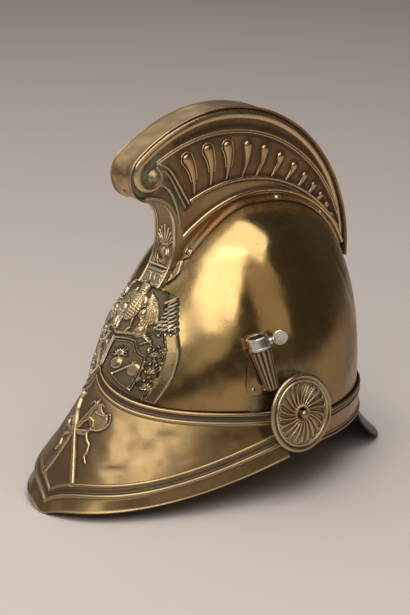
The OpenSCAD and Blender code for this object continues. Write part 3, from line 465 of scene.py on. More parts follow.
def agedLeather(name, tone, worn, glossy=0.45, poreScale=620.0):
    finish, tree, shader, place = newFinish(name)
    broad = patches(tree, place, 24, 0.35, 0.68, 5)
    rubbed = tuple(min(1, 1.8 * level) for level in worn)
    colour = mixColour(tree, broad, tone, worn)
    fill(tree, shader.inputs["Base Color"],
         mixColour(tree, maths(tree, "MULTIPLY", levelOf(tree, "ridge"), 0.5), colour, rubbed))
    cells = putNode(tree, "ShaderNodeTexVoronoi", {"Vector": place, "Scale": poreScale}, feature="DISTANCE_TO_EDGE")
    creases = putNode(tree, "ShaderNodeTexNoise", {"Vector": place, "Scale": 70, "Detail": 6.0})
    surface = embossed(tree, creases.outputs[0], 0.4, 0.002)
    surface = embossed(tree, ranged(tree, cells.outputs[0], From_Max=0.18), 0.35, 0.0004, surface)
    fill(tree, shader.inputs["Normal"], surface)
    fill(tree, shader.inputs["Roughness"], ranged(tree, broad, To_Min=glossy, To_Max=glossy + 0.25))
    return finish


linerLeather = agedLeather("linerLeather", (0.19, 0.095, 0.05), (0.27, 0.15, 0.085))
bindingLeather = agedLeather("bindingLeather", (0.085, 0.05, 0.032), (0.14, 0.085, 0.055))
laceFinish = agedLeather("laceFinish", (0.42, 0.34, 0.24), (0.5, 0.42, 0.31), 0.75, 900.0)
print("finishes made")

dome = {"halfWidth": 90, "front": 127, "rear": 104, "top": 201, "base": 62, "bottom": 48, "sidePower": 1.9,
        "frontPower": 1.15, "frontRound": 1.7, "rearPower": 3, "rearRound": 2.6, "shift": 7.2, "lean": 6.3,
        "frontPlan": 1.42, "planGain": 0.58, "rearPlan": 1.9,
        "keel": 7.5, "keelWide": 11, "keelLow": 118, "keelTop": 155}


def fade(value, start, length):
    # 0 up to the start and 1 a length further on; a negative length runs downwards
    return np.clip((value - start) / length, 0, 1)


def bead(distance, reach, height):
    return height * np.sqrt(np.clip(1 - (distance / reach) ** 2, 0, 1))


def hill(distance, reach, height=1.0):
    return height * np.exp(-((distance / reach) ** 2))


def rise(z, gap=0):
    return fade(z, dome["base"], dome["top"] + gap - dome["base"])


def reachAt(z, gap, reach, power, roundness):
    return (dome[reach] + gap) * np.maximum(0, 1 - rise(z, gap) ** dome[power]) ** (1 / dome[roundness])


def halfWidth(z, gap=0):
    return reachAt(z, gap, "halfWidth", "sidePower", "sidePower")


def frontReach(z, gap=0):
    return reachAt(z, gap, "front", "frontPower", "frontRound")


def rearReach(z, gap=0):
    return reachAt(z, gap, "rear", "rearPower", "rearRound")


def axisY(z):
    return dome["shift"] + dome["lean"] * rise(z)


def frontPlan(z):
    return dome["frontPlan"] + dome["planGain"] * rise(z)


def keel(x, z):
    upper = fade(z, dome["keelTop"], dome["keelLow"] - dome["keelTop"])
    return dome["keel"] * np.exp(-np.abs(x) / dome["keelWide"]) * upper


def signedPower(value, power):
    return np.sign(value) * np.abs(value) ** power


def skullPoint(degrees, z, gap=0):
    # a place on the skull, or a gap outside it, by its angle from +x and its height
    a = np.radians(degrees)
    front = np.sin(a) < 0
    n = np.where(front, frontPlan(z), dome["rearPlan"])
    reach = np.where(front, frontReach(z, gap), rearReach(z, gap))
    x = halfWidth(z, gap) * signedPower(np.cos(a), 2 / n)
    y = axisY(z) + reach * signedPower(np.sin(a), 2 / n) - np.where(front, keel(x, z), 0)
    return np.stack([x, y, z + 0 * a], -1)


def frontPoint(x, z, gap=0):
    n = frontPlan(z)
    share = np.minimum(1, (np.abs(x) / np.maximum(halfWidth(z, gap), 1e-6)) ** n)
    return np.stack([x + 0 * z, axisY(z) - frontReach(z, gap) * (1 - share) ** (1 / n) - keel(x, z), z + 0 * x], -1)


def depthIn(points, gap=0):
    # below 1 inside the skull, above 1 outside
    x, y, z = points[..., 0], points[..., 1], points[..., 2]
    front = y < axisY(z)
    n = np.where(front, frontPlan(z), dome["rearPlan"])
    reach = np.where(front, frontReach(z, gap), rearReach(z, gap))
    y = np.where(front, np.minimum(axisY(z), y + keel(x, z)), y)
    across, along = np.abs(x) / np.maximum(halfWidth(z, gap), 1e-6), np.abs(y - axisY(z)) / np.maximum(reach, 1e-6)
    return np.where(z >= dome["top"] + gap, 2, across**n + along**n)


def hitSkull(start, way, gap, low, high):
    # how far from the start a line leaves the skull, by halving
    low, high = np.full(start.shape[:-1], float(low)), np.full(start.shape[:-1], float(high))
    for _ in range(26):
        middle = (low + high) / 2
        within = depthIn(start + way * middle[..., None], gap) < 1
        low, high = np.where(within, middle, low), np.where(within, high, middle)
    return (low + high) / 2


def skullNormal(degrees, z):
    along, up = (skullPoint(degrees + a, z + h) - skullPoint(degrees - a, z - h) for a, h in ((1.0, 0), (0, 1.0)))
    way = np.cross(along, up)
    return way / np.linalg.norm(way)


def runOf(path):
    # the distance along a broken line at each of its points
    return np.concatenate([[0], np.cumsum(np.linalg.norm(np.diff(path, axis=0), axis=1))])


def strokeAlong(x, y, path):
    # distance to a broken line, and the share of its length at the nearest place
    best, share, run = np.full(np.shape(x), 1e9), np.zeros(np.shape(x)), 0.0
    total = sum(math.dist(p, q) for p, q in zip(path[:-1], path[1:])) or 1
    for (ax, ay), (bx, by) in zip(path[:-1], path[1:]):
        dx, dy = bx - ax, by - ay
        length = math.hypot(dx, dy) or 1e-6
        t = np.clip(((x - ax) * dx + (y - ay) * dy) / length**2, 0, 1)
        away = np.hypot(x - ax - t * dx, y - ay - t * dy)
        nearer = away < best
        best, share = np.where(nearer, away, best), np.where(nearer, (run + t * length) / total, share)
        run += length
    return best, share


def stroke(x, y, path, startWidth, endWidth, height):
    away, share = strokeAlong(x, y, path)
    return bead(away, startWidth + (endWidth - startWidth) * share, height)


def drawn(x, y, strokes):
    # the highest of several strokes, each a path with its first and last half width and its height
    return np.maximum.reduce([stroke(x, y, *row) for row in strokes])


def ripples(points, size, seed, count=7):
    # smooth seeded unevenness of hand-worked sheet, about -1 to 1
    dice = np.random.default_rng(seed)
    out = 0
    for _ in range(count):
        way = dice.normal(size=3)
        way *= 2 * math.pi / size / np.linalg.norm(way) * dice.uniform(0.6, 1.6)
        out = out + np.sin(points @ way + dice.uniform(0, 6.28))
    return out / count


rosetteLook = {"radius": 28.6, "hub": 4.4, "flutes": 22, "twist": -18, "tilt": 8, "centre": (96.6, -6.3, 65.5),
               "knobRadius": 2.4}
skullLook = {"columns": 300, "rows": 110, "thickness": 1.2, "uneven": 0.35, "fineUneven": 0.12, "crease": 0.5,
             "creaseAngle": 42, "foot": 0.1}


def skullShape(u, v):
    foot = skullLook["foot"]
    low = dome["bottom"] + (dome["base"] - dome["bottom"]) * v / foot
    high = dome["base"] + (dome["top"] - dome["base"]) * np.sin(np.pi / 2 * fade(v, foot, 1 - foot))
    return skullPoint(360 * u, np.where(v < foot, low, high))


def skullRelief(u, v, points):
    z = points[..., 2]
    height = skullLook["uneven"] * ripples(points, 70, 3) + skullLook["fineUneven"] * ripples(points, 24, 5)
    crease = hill(360 * u - skullLook["creaseAngle"] + 0.12 * (z - 140), 2.2, -skullLook["crease"]) * fade(z, 105, 20)
    return (height + crease) * fade(z, 60, 30) * fade(z, 199, -20)


def skullMarks(u, v, points, marks):
    x, y, z = points[..., 0], points[..., 1], points[..., 2]
    nearCrest = hill(np.abs(x) - 16, 7) * fade(z, 150, 20)
    fromRosette = np.hypot(y - rosetteLook["centre"][1], z - rosetteLook["centre"][2])
    nearRosette = hill(fromRosette - 28, 5) * (np.abs(x) > 60)
    nearPlate = hill(np.hypot(np.abs(x) * 0.9, z - 112) - 42, 5) * (y < -30)
    # hollow: painted shade in soft rings round the crest's foot, the rosettes and the plate, and darker towards the
    # rear; tarnish: darker towards the bottom and the rear, with more painted shade by the crest; green: verdigris by
    # the rosettes and the crest's front
    return {"hollow": 0.45 * nearCrest + 0.5 * nearRosette + 0.4 * nearPlate + 0.25 * fade(y, 34, 40), "ridge": 0,
            "tarnish": np.minimum(0.75 * fade(z, 104, -34) + 0.75 * fade(y, 4, 70) + 0.5 * nearCrest, 0.95),
            "green": 0.6 * nearRosette + 0.35 * nearCrest * (y < -20)}


skull = pressedSheet("skullShell", skullLook["columns"], skullLook["rows"], skullShape, (0, 0, 90),
                     skullLook["thickness"], skullRelief, skullMarks, closed=True)
dress(skull, skullBrass, "skull")
print("skull made")

visorLook = {"columns": 260, "tip": 163.6, "halfWidth": 97.3, "browZ": 61.5, "browRise": 36, "browPoint": 0.8,
             "tipZ": 5.6, "tipRise": 9.5, "sideRise": 32, "sideY": -4, "rimDrop": 8.5, "rimReach": 3.4,
             "thickness": 1.2, "dents": 0.5, "browBand": 11, "edgeBand": 13, "endGap": 1}
visorStart = dome["shift"] - rosetteLook["centre"][1] + rosetteLook["knobRadius"] + visorLook["endGap"]
visorEnd = math.degrees(math.asin((visorStart / dome["front"]) ** (dome["frontPlan"] / 2)))


def browHeight(x):
    a = np.abs(x)
    return visorLook["browZ"] + visorLook["browRise"] * np.exp(-a / 43) + visorLook["browPoint"] * np.exp(-a / 5)


def browOver(x):
    return browHeight(dome["halfWidth"] * (np.abs(x) / dome["halfWidth"]) ** (dome["frontPlan"] / 2))


def browPoint(f, gap=1.5):
    return skullPoint(f - 90, browHeight(dome["halfWidth"] * np.abs(np.sin(np.radians(f)))), gap)


def edgePoint(f, halfWidth, reach, low, power, z):
    # a curve from the visor's middle, at the reach, round to its ends at the side
    s = np.abs(np.sin(np.radians(f)))
    y = -reach + (reach + visorLook["sideY"]) * (low * s + (1 - low) * s**power)
    return np.stack([halfWidth * np.sin(np.radians(f)), y, z], -1)


def tipPoint(f):
    s = np.abs(np.sin(np.radians(f)))
    z = visorLook["tipZ"] + visorLook["tipRise"] * (1 - np.exp(-8 * s)) + visorLook["sideRise"] * s**4.5
    return edgePoint(f, visorLook["halfWidth"], visorLook["tip"], 0.24, 3.4, z)


def rimPoint(f):
    z = np.maximum(0, tipPoint(f)[..., 2] - visorLook["rimDrop"])
    wider = visorLook["rimReach"]
    return edgePoint(f, visorLook["halfWidth"] + wider, visorLook["tip"] + wider, 0.08, 2.6, z)


def visorSheet(f, down):
    # down: 0 at the brow, 1 at the lower moulding and 2 at the rim
    share, below = np.clip(down, 0, 1)[..., None], fade(down, 1, 1)[..., None]
    flat = browPoint(f) * (1 - share) + tipPoint(f) * share
    return flat * (1 - below) + rimPoint(f) * below


# rows of the sheet: kind 0 on the brow's moulding, 1 on the panel, 2 on the edge's moulding, 3 on the rim
visorSteps = np.concatenate([np.linspace(0, visorLook["browBand"], 30)[:-1],
                             np.linspace(visorLook["browBand"], 100, 46)[1:-1],
                             np.linspace(0, visorLook["edgeBand"], 32), np.linspace(0, 1, 14)[1:]])
visorKinds = np.repeat([0, 1, 2, 3], [29, 44, 32, 13])


def visorAngle(u):
    return (visorEnd - 89.5) + (179 - 2 * visorEnd) * u


def visorDown(f, v):
    # rows are close together on the mouldings and wider on the plain panel
    brow, edge = visorLook["browBand"], visorLook["edgeBand"]
    k = np.rint(v * (len(visorSteps) - 1)).astype(int)
    step, kind = visorSteps[k], visorKinds[k]
    length = np.linalg.norm(tipPoint(f) - browPoint(f), axis=-1)
    panel = brow + (length - brow - edge) * (step - brow) / (100 - brow)
    along = np.select([kind == 0, kind == 1, kind == 2], [step, panel, length - edge + step], length)
    return along, length, np.where(kind == 3, 1 + step, along / length), kind


def visorShape(u, v):
    f = visorAngle(u)
    return visorSheet(f, visorDown(f, v)[2])


def panelDents(f, share, points):
    sway = 1.3 * np.sin(9 * share) + 0.5 * np.sin(31 * share)
    dents = 0.45 * ripples(points, 42, 11) + 0.3 * ripples(points, 19, 12) + hill(f - 62, 6, -0.5)
    # folds and dents as angle, width and depth, then place down the panel and its length
    for angle, wide, deep, down, tall in ((28 - sway, 2.3, -0.9, 0.42, 0.26), (33.5, 3.6, -1.2, 0.48, 0.09),
                                          (20 - sway, 3.6, 0.6, 0.42, 0.25), (38, 3.4, -0.7, 0.3, 0.1),
                                          (-34, 3, -0.8, 0.5, 0.25), (24, 5, -0.7, 0.69 - 0.004 * (f - 24), 0.03)):
        dents = dents + hill(f - angle, wide, deep) * hill(share - down, tall)
    return visorLook["dents"] * dents


# crossed pike and axe tied with a ribbon bow: places are degrees from the middle and the share down the panel
emblemLook = {"columns": 170, "rows": 240, "left": -17, "right": 19, "top": 0.07, "foot": 0.93,
              "perDegree": 1.55, "depth": 76, "base": -0.45, "thickness": 0.3}
emblemStrokes = [
    # pike with its point and hooks
    ([(-12.6, 0.14), (-7.7, 0.3), (-0.2, 0.43), (2.6, 0.515), (5.5, 0.62), (8.0, 0.737), (10.2, 0.86)], 1.7, 2.5, 2.8),
    ([(-14.2, 0.105), (-12.8, 0.13), (-11, 0.18)], 0.5, 1.9, 2.3),
    ([(-15.2, 0.2), (-12.6, 0.205), (-10.2, 0.235)], 0.6, 1.1, 1.8),
    ([(-12.4, 0.205), (-9.2, 0.185), (-7.0, 0.16)], 1.1, 0.6, 1.8),
    # axe's handle, point and the edge of its blade
    ([(-10.6, 0.87), (-7.0, 0.718), (-5.2, 0.641), (-1.7, 0.48), (2.4, 0.4), (5.0, 0.314), (8.0, 0.19)], 2.4, 1.9, 2.3),
    ([(8.0, 0.2), (8.9, 0.14)], 1.5, 0.6, 2.1),
    ([(4.2, 0.24), (5.7, 0.193), (7.6, 0.205)], 0.6, 0.8, 1.7),
    ([(9.0, 0.2), (10.4, 0.169), (12.2, 0.178)], 0.8, 0.5, 1.7),
    ([(16.3, 0.215), (16.9, 0.25), (16.8, 0.29), (15.8, 0.33), (14.2, 0.365), (12.4, 0.388), (9.6, 0.4)],
     0.8, 0.7, 2.0),
    ([(8.6, 0.255), (10.2, 0.262), (13.0, 0.247), (16.0, 0.21)], 0.6, 0.6, 1.9),
    # bow: knot, two loops and two ends
    ([(-1.6, 0.45), (0.4, 0.475)], 2.3, 2.1, 2.9),
    ([(0.2, 0.45), (3.6, 0.372), (6.8, 0.322), (9.4, 0.33), (10.0, 0.37), (8.2, 0.424), (3.6, 0.452), (0.6, 0.462)],
     1.2, 1.2, 2.0),
    ([(-1.0, 0.452), (-4.2, 0.418), (-8.4, 0.36), (-11.4, 0.36), (-12.4, 0.392), (-10.4, 0.436), (-5.2, 0.462),
      (-1.4, 0.466)], 1.2, 1.2, 2.0),
    ([(0.6, 0.47), (4.0, 0.458), (8.0, 0.446), (9.4, 0.491), (11.3, 0.52), (11.7, 0.578), (11.1, 0.624), (12.7, 0.674)],
     1.9, 1.0, 1.8),
    ([(-1.6, 0.48), (-5.0, 0.482), (-9.2, 0.51), (-9.8, 0.56), (-8.6, 0.608), (-10.6, 0.66)], 1.9, 1.0, 1.8),
]
emblemBalls = [(10.4, 0.87, 2.3, 2.5), (-10.8, 0.875, 2.1, 2.1)]
emblemBlade = {"centre": (10.6, 0.285), "radius": 8.4, "cut": (14.2, 0.15), "cutRadius": 5.6, "back": 7.4,
               "slant": 0.35, "height": 1.2, "bevel": 0.8}


def emblemRelief(f, share):
    # the emblem's height over the panel, drawn in mm on the panel laid flat
    def flat(angle, down):
        return angle * emblemLook["perDegree"], -down * emblemLook["depth"]

    x, z = flat(f, share)
    height = drawn(x, z, [([flat(*spot) for spot in path], *sizes) for path, *sizes in emblemStrokes])
    for angle, down, radius, tall in emblemBalls:
        px, pz = flat(angle, down)
        height = np.maximum(height, bead(np.hypot(x - px, z - pz), radius, tall))
    (bx, bz), (cx, cz) = flat(*emblemBlade["centre"]), flat(*emblemBlade["cut"])
    blade = fade(np.hypot(x - bx, z - bz), emblemBlade["radius"], -emblemBlade["bevel"])
    blade = blade * fade(np.hypot(x - cx, z - cz), emblemBlade["cutRadius"], emblemBlade["bevel"])
    ahead = x - flat(emblemBlade["back"], 0)[0] > emblemBlade["slant"] * (z - bz)
    return np.maximum(height, emblemBlade["height"] * blade * ahead)


def mouldings(along, beads, lips):
    # round beads as place, half width and height, with thin lips beside them
    rows = [bead(along - place, wide, tall) for place, wide, tall in beads]
    return sum(rows) + sum(hill(along - place, 0.4, 0.3) for place in lips)


def visorRelief(u, v, points):
    f = visorAngle(u)
    along, length, down, kind = visorDown(f, v)
    fromTip = length - along
    height = mouldings(along, ((1.6, 1.7, 1.8), (8, 1.5, 1.3)), (4, 5.9))
    height = height + np.where(kind < 3, mouldings(fromTip, ((10.6, 1.5, 1.2), (2.6, 1.8, 1.7)), (8.2, 5)), 0)
    height = height + np.where(kind == 3, hill(fade(down, 1, 1) - 0.93, 0.06, 0.5), 0)
    panel = fade(along, visorLook["browBand"], 8) * fade(fromTip, visorLook["edgeBand"], 8)
    return height + panel * panelDents(f, along / length, points)


def visorMarks(u, v, points, marks):
    f = visorAngle(u)
    along, length, down, kind = visorDown(f, v)
    share, onPanel = along / length, kind == 1
    groove = hill(along - 4.8, 1.9, 0.95) + np.where(kind < 3, hill(length - along - 6.6, 2.2, 0.95), 0)
    emblem = np.clip(emblemRelief(f, share), 0, 1) * (np.abs(f) < 20) * onPanel
    # a soft painted shade over and round the emblem's strokes
    emblemShade = np.clip(1.6 * blur(emblem, 5), 0, 1)
    # painted shade where the key lamp's highlight peaks on the panel
    shadeOverHighlight = hill(f - 30, 22, 0.3) * hill(share - 0.4, 0.4)
    # hollow: grime in the grooves, painted shade round the emblem and over the panel from its middle to the helmet's
    # right; tarnish: tarnish, with painted shade over the highlight's peak and from the middle to the right
    return {"hollow": 0.6 * marks["hollow"] + groove + 0.9 * emblemShade + 0.42 * fade(f, 21, -8) * onPanel,
            "green": 0.5 * fade(np.abs(f), 66, 8) * np.clip(groove + 0.3, 0, 1),
            "tarnish": np.select([onPanel, kind == 3], [0.3 + shadeOverHighlight, 0.35], 0.2) + 0.45 * fade(f, 22, -12)}


visor = pressedSheet("visorPeak", visorLook["columns"], len(visorSteps) - 1, visorShape, (0, -40, 60),
                     visorLook["thickness"], visorRelief, visorMarks, hollowScale=0.6)
dress(visor, visorBrass, "visor")
print("visor made")

neckLook = {"columns": 240, "rows": 60, "top": 58, "bottom": 36, "start": 4, "gap": 1.5, "thickness": 1.2}
flapLook = {"columns": 150, "rows": 70, "angle": 43, "reach": 26, "overlap": 0.25, "thickness": 1.2}


def neckShape(u, v):
    angle = neckLook["start"] + (180 - 2 * neckLook["start"]) * u
    return skullPoint(angle, neckLook["top"] - (neckLook["top"] - neckLook["bottom"]) * v, neckLook["gap"])


def neckRelief(u, v, points):
    z = points[..., 2]
    height = mouldings(z, ((56.6, 1.1, 1.3), (54, 0.9, 0.7), (51.6, 1.0, 1.1), (39.6, 0.8, 0.6), (37.3, 1.1, 1.3)), ())
    return height + hill(z - 49.8, 0.4, 0.2) + 0.25 * ripples(points, 36, 21) * fade(z, 40, 3) * fade(z, 50, -3)


neckGuard = pressedSheet("neckBand", neckLook["columns"], neckLook["rows"], neckShape, (0, 20, 47),
                         neckLook["thickness"], neckRelief, hollowScale=0.45)
dress(neckGuard, guardBrass, "neck_guard")


def flapShape(u, v):
    # the upper part lies inside the neck guard, the rest flares out to the floor
    side, overlap = 2 * u - 1, flapLook["overlap"]
    w = fade(v, overlap, 1 - overlap) * (0.08 + 0.92 * np.sqrt(np.maximum(0, 1 - np.abs(side) ** 5)))
    top = dome["bottom"] - 0.3
    hidden = top + (neckLook["bottom"] - top) * v / overlap
    z = np.where(v < overlap, hidden, np.maximum(0, neckLook["bottom"] * (1 - w)))
    p = skullPoint(90 + flapLook["angle"] * side, z)
    return np.stack([p[..., 0] * (1 + 0.06 * w), p[..., 1] + flapLook["reach"] * w**1.5, z], -1)


def flapRelief(u, v, points):
    uneven = 0.4 * ripples(points, 40, 31) * fade(v, 0.3, 0.1) * fade(v, 0.97, -0.1)
    return uneven + bead(v - 0.4, 0.02, 0.6) + bead(v - 0.955, 0.03, 0.6)


neckFlap = pressedSheet("neckFlare", flapLook["columns"], flapLook["rows"], flapShape, (0, 40, 60),
                        flapLook["thickness"], flapRelief, hollowScale=0.4)
dress(neckFlap, flapShadedBrass, "neck_flap")
print("neck guard made")

# the crest in its own side view: places are (y, z), angles run from the rear over the top
crest = {"radius": 125, "centre": (-10, 148), "turn": 126.4, "end": -4, "curl": 18.5, "curlEnd": 250,
         "stripWidth": 23.2, "halfField": 8.8, "thickness": 1.2, "stepCentre": (7, 96.8), "stepRadius": 119.8,
         "footCentre": (19, 99), "footRadius": 104, "filletCentre": (-10, 129.3), "filletRadius": 124.3,
         "flange": 8, "wall": 1.8, "fieldThickness": 1.1, "frontGreen": (-43, 177, 11),
         "rollFront": 4.6, "rollRear": 2.0, "rollEnd": 2.6, "rollShare": 0.7, "rollGap": 1.4, "eyeRadius": 6.2}
stripLook = {"columns": 300, "rows": 44, "holeAngle": 213.0, "holeRadius": 1.25, "holeDepth": 8}


def onCircle(centre, radius, degrees):
    a = np.radians(degrees)
    return np.stack([centre[0] + radius * np.cos(a), centre[1] + radius * np.sin(a)], -1)


curlCentre = onCircle(crest["centre"], crest["radius"] - crest["curl"], crest["turn"])
eyeCentre = curlCentre + np.array([4.4, -1.5])


def stripLine(share):
    # the crest's ridge from its rear end over the top and round the curl
    first = crest["radius"] * math.radians(crest["turn"] - crest["end"])
    second = crest["curl"] * math.radians(crest["curlEnd"] - crest["turn"])
    along = share * (first + second)
    big = onCircle(crest["centre"], crest["radius"], crest["end"] + np.degrees(along / crest["radius"]))
    small = onCircle(curlCentre, crest["curl"], crest["turn"] + np.degrees((along - first) / crest["curl"]))
    return np.where((along < first)[..., None], big, small)


def stripShape(u, v):
    line = stripLine(u)
    return np.stack([crest["stripWidth"] * (v - 0.5), line[..., 0], line[..., 1]], -1)


def stripRelief(u, v, points):
    # dents between the two rolled edges, deeper towards the front
    a = np.abs(points[..., 0])
    dents = 0.6 * ripples(points, 30, 41) + 0.4 * ripples(points, 13, 42) - 0.25
    dents = dents * fade(a, 10, -3) * (0.5 + 0.9 * fade(points[..., 1], -10, -60))
    return dents + bead(a - 10.9, 0.7, 0.45) + 0.2 * ripples(points, 60, 43)


def stripMarks(u, v, points, marks):
    spots = 0.5 + 0.5 * np.clip(2.2 * ripples(points, 17, 44), -1, 1)
    groove = hill(np.abs(points[..., 0]) - 9.8, 0.8, 0.5)
    return {"hollow": 0.6 * marks["hollow"] + groove, "tarnish": 0.05 + 0.5 * spots}


strip = pressedSheet("crestStrip", stripLook["columns"], stripLook["rows"], stripShape, (0, -10, 190),
                     crest["thickness"], stripRelief, stripMarks)
holeWay = onCircle((0, 0), 1, stripLook["holeAngle"])
drilled(strip, stripLook["holeRadius"] / 1000, stripLook["holeDepth"] / 1000,
        location=toMetres([[0, *(curlCentre + holeWay * crest["curl"])]])[0],
        rotation=Vector((0, *holeWay)).to_track_quat("Z", "Y").to_euler())
smooth(strip)
dress(strip, stripBrass, "crest_top_strip")

# the drops' heads, radii and tails as (y, z, radius, tail y, tail z)
drops = [(-38.5, 240, 4.1, -31.5, 212.5), (-19.3, 243.4, 4.0, -16.6, 216.5), (-1, 243.2, 4.0, -2, 218),
         (18.2, 240.6, 3.9, 13, 217.5), (34.6, 235, 3.7, 26.2, 215.4), (49.8, 226.8, 3.5, 41, 212.8),
         (63.2, 217.4, 3.2, 55, 207.6), (74, 208, 3.0, 66.6, 200.2), (83, 199, 2.7, 77, 192.8),
         (90.5, 190.2, 2.4, 85.4, 185.4), (96.6, 181.8, 2.1, 92.2, 177.6), (101.8, 173, 1.8, 98.4, 170)]
rimmedDrops = 3
frontEdge = [(-49, 173), (-48.5, 184), (-48, 196), (-57, 212), (-73, 219)]
stiles = [[(-64, 240.5), (-57, 237.5), (-51, 230.5), (-45.5, 221), (-41, 213.5), (-37, 206.5)],
          [(-62.4, 236.4), (-57.5, 233.4), (-52.5, 227), (-47.5, 217.5), (-43.5, 210), (-40, 204)],
          [(-66, 226), (-59, 224), (-53, 217), (-49, 207.5), (-46.6, 198), (-45.6, 190), (-44.4, 183)]]


def footHit(x, degrees, gap):
    zero = 0 * degrees
    way = np.stack([zero, np.cos(np.radians(degrees)), np.sin(np.radians(degrees))], -1)
    start = np.stack([x + zero, crest["footCentre"][0] + zero, crest["footCentre"][1] + zero], -1)
    return hitSkull(start, way, gap, 60, 150)


def footPoint(x, degrees, gap):
    # a place on the skull, or a gap outside it, seen from the foot arc's centre
    place = onCircle(crest["footCentre"], footHit(x, degrees, gap), degrees)
    return np.stack([x + 0 * degrees, place[..., 0], place[..., 1]], -1)


# radius of the arc along the crest's foot, which keeps clear of the skull
footTable = np.linspace(10, 145, 136)
footLift = np.clip(np.sum(onCircle((0, 0), 1, footTable) * (4, 2), -1), 0, 4) * fade(footTable, 20, 20)
footClear = footHit(crest["halfField"] + 0 * footTable, footTable, 0.6) + 1.3
footRadii = np.maximum(crest["footRadius"] + footLift, footClear)


def fromCircle(y, z, name):
    # distance outside one of the crest's circles, and the direction from its centre in degrees
    cy, cz = crest[name + "Centre"]
    return np.hypot(y - cy, z - cz) - crest.get(name + "Radius", 0), np.degrees(np.arctan2(z - cz, y - cy))


def fieldPlace(u, v):
    # u runs from the rear to the front, v from the flange's edge up to the strip; the last 6 % is the front edge
    s, f = np.clip(u / 0.94, 0, 1), fade(u, 0.94, 0.06)
    low = footPoint(crest["halfField"], 27 + 97 * s, crest["wall"])[..., 1:]
    high = onCircle(crest["centre"], crest["radius"] - 1.5, 4 + 118 * s)
    t = fade(v, 0.16, 0.84)[..., None]
    path = np.array([footPoint(crest["halfField"], np.array([134.0]), crest["wall"])[0, 1:], *frontEdge])
    run = runOf(path)
    edge = np.stack([np.interp(t[..., 0], run / run[-1], line) for line in path.T], -1)
    place = (low * (1 - t) + high * t) * (1 - f[..., None]) + edge * f[..., None]
    return place[..., 0], place[..., 1], s, f


def fieldHeight(y, z):
    # the recessed field, and the dirt and painted shade beside its raised lines and round its drops and stiles
    foot, angle = fromCircle(y, z, "foot")
    foot = foot + crest["footRadius"] - np.interp(angle, footTable, footRadii)
    step, angle = fromCircle(y, z, "step")
    fillet = fromCircle(y, z, "fillet")[0]
    behind = fade(angle, 111, -1.5)
    field = fade(step, 0, 1.5) * fade(fillet, 0, -1.5) * behind
    height = -0.7 * field - 0.35 * fade(step, 0, -3) * fade(foot, 0, 3) - 0.5 * fade(fillet, 2.4, 1.5) * behind
    dirtAndShade = hill(step + 2.2, 1.3, 0.8) + hill(step - 2.4, 1.6, 0.8)
    dirtAndShade = dirtAndShade + hill(fillet + 1.9, 1.4, 0.8) + hill(fillet - 5, 2.4, 0.9)
    dirtAndShade = hill(foot - 2.4, 1.6, 0.8) + behind * dirtAndShade
    for hy, hz, r, ty, tz in drops:
        away, share = strokeAlong(y, z, [(hy, hz), ((hy + ty) / 2 + 1.6, (hz + tz) / 2), (ty, tz)])
        dirtAndShade = dirtAndShade + hill(away - r * (1 - share) - 1, 1.5, 0.75)
    for path in stiles:
        dirtAndShade = dirtAndShade + hill(strokeAlong(y, z, path)[0] - 1.6, 1.3, 0.7)
    return height, np.clip(dirtAndShade, 0, 0.9)


def fieldShape(u, v):
    # a flange on the skull, turned up into the side, which is pressed in where the field lies
    y, z, s, f = fieldPlace(u, v)
    over = np.minimum(1, v / 0.13)
    spread = crest["flange"] * (1 - f) + 3 * f
    angle = (24 + (107 - 4 * over) * s) * (1 - f) + 134 * f
    flange = footPoint(crest["halfField"] + 0.6 + (spread - 0.6) * (1 - over), angle, crest["wall"])
    up = fade(v, 0.13, 0.03)[..., None]
    points = flange * (1 - up) + np.stack([crest["halfField"] + 0 * u, y, z], -1) * up
    height = fieldHeight(points[..., 1], points[..., 2])[0] + 0.15 * ripples(points, 30, 51)
    points[..., 0] += np.where(v > 0.155, height, 0)
    return points


def fieldMarks(u, v, points, marks):
    y, z, onField = points[..., 1], points[..., 2], v > 0.155
    inField = fade(fromCircle(y, z, "step")[0], 0, 2) * onField
    corner = hill(strokeAlong(y, z, stiles[2])[0], 3.0) * onField
    greenY, greenZ, greenReach = crest["frontGreen"]
    foot = hill(np.hypot(y - greenY, z - greenZ), greenReach) * (1 - onField)
    clouds = 0.5 + 0.5 * ripples(points, 22, 52)
    return {"hollow": np.where(onField, 0.08 + fieldHeight(y, z)[1], 0.1), "ridge": 0.5 * ((v > 0.02) & (v < 0.05)),
            "green": 0.55 * corner + 0.8 * foot, "tarnish": 0.85 * inField + 0.15 * clouds}


def rollPath(k):
    # centre, heading and radius of the thick roll at share k of its length; it ends in the scroll's eye
    big = k < crest["rollShare"]
    f = np.where(big, k / crest["rollShare"], (k - crest["rollShare"]) / (1 - crest["rollShare"]))
    rear, front, start = crest["rollRear"], crest["rollFront"], crest["end"] + 6
    radius = np.where(big, rear + (front - rear) * np.minimum(1, 1.6 * f), front + (crest["rollEnd"] - front) * f)
    a = np.where(big, start + (crest["turn"] - start) * f, crest["turn"] + (430 - crest["turn"]) * f)
    curled = (crest["curl"] - crest["rollGap"] - front) * (1 - f) + crest["eyeRadius"] * f
    reach = np.where(big, crest["radius"] - crest["rollGap"] - radius, curled)
    centre = np.where(big[..., None], crest["centre"], curlCentre * (1 - f[..., None]) + eyeCentre * f[..., None])
    a = np.radians(a)
    return centre + reach[..., None] * np.stack([np.cos(a), np.sin(a)], -1), a, radius


def rollShape(u, v):
    place, a, r = rollPath(u)
    b = 2 * np.pi * v
    r = r * bead(fade(u, 0.004, -0.004), 1, 1) * bead(fade(u, 0.994, 0.006), 1, 1)
    x = crest["stripWidth"] / 2 - crest["rollFront"] - 0.1 + r * np.sin(b)
    return np.stack([x, place[..., 0] + r * np.cos(b) * np.cos(a), place[..., 1] + r * np.cos(b) * np.sin(a)], -1)


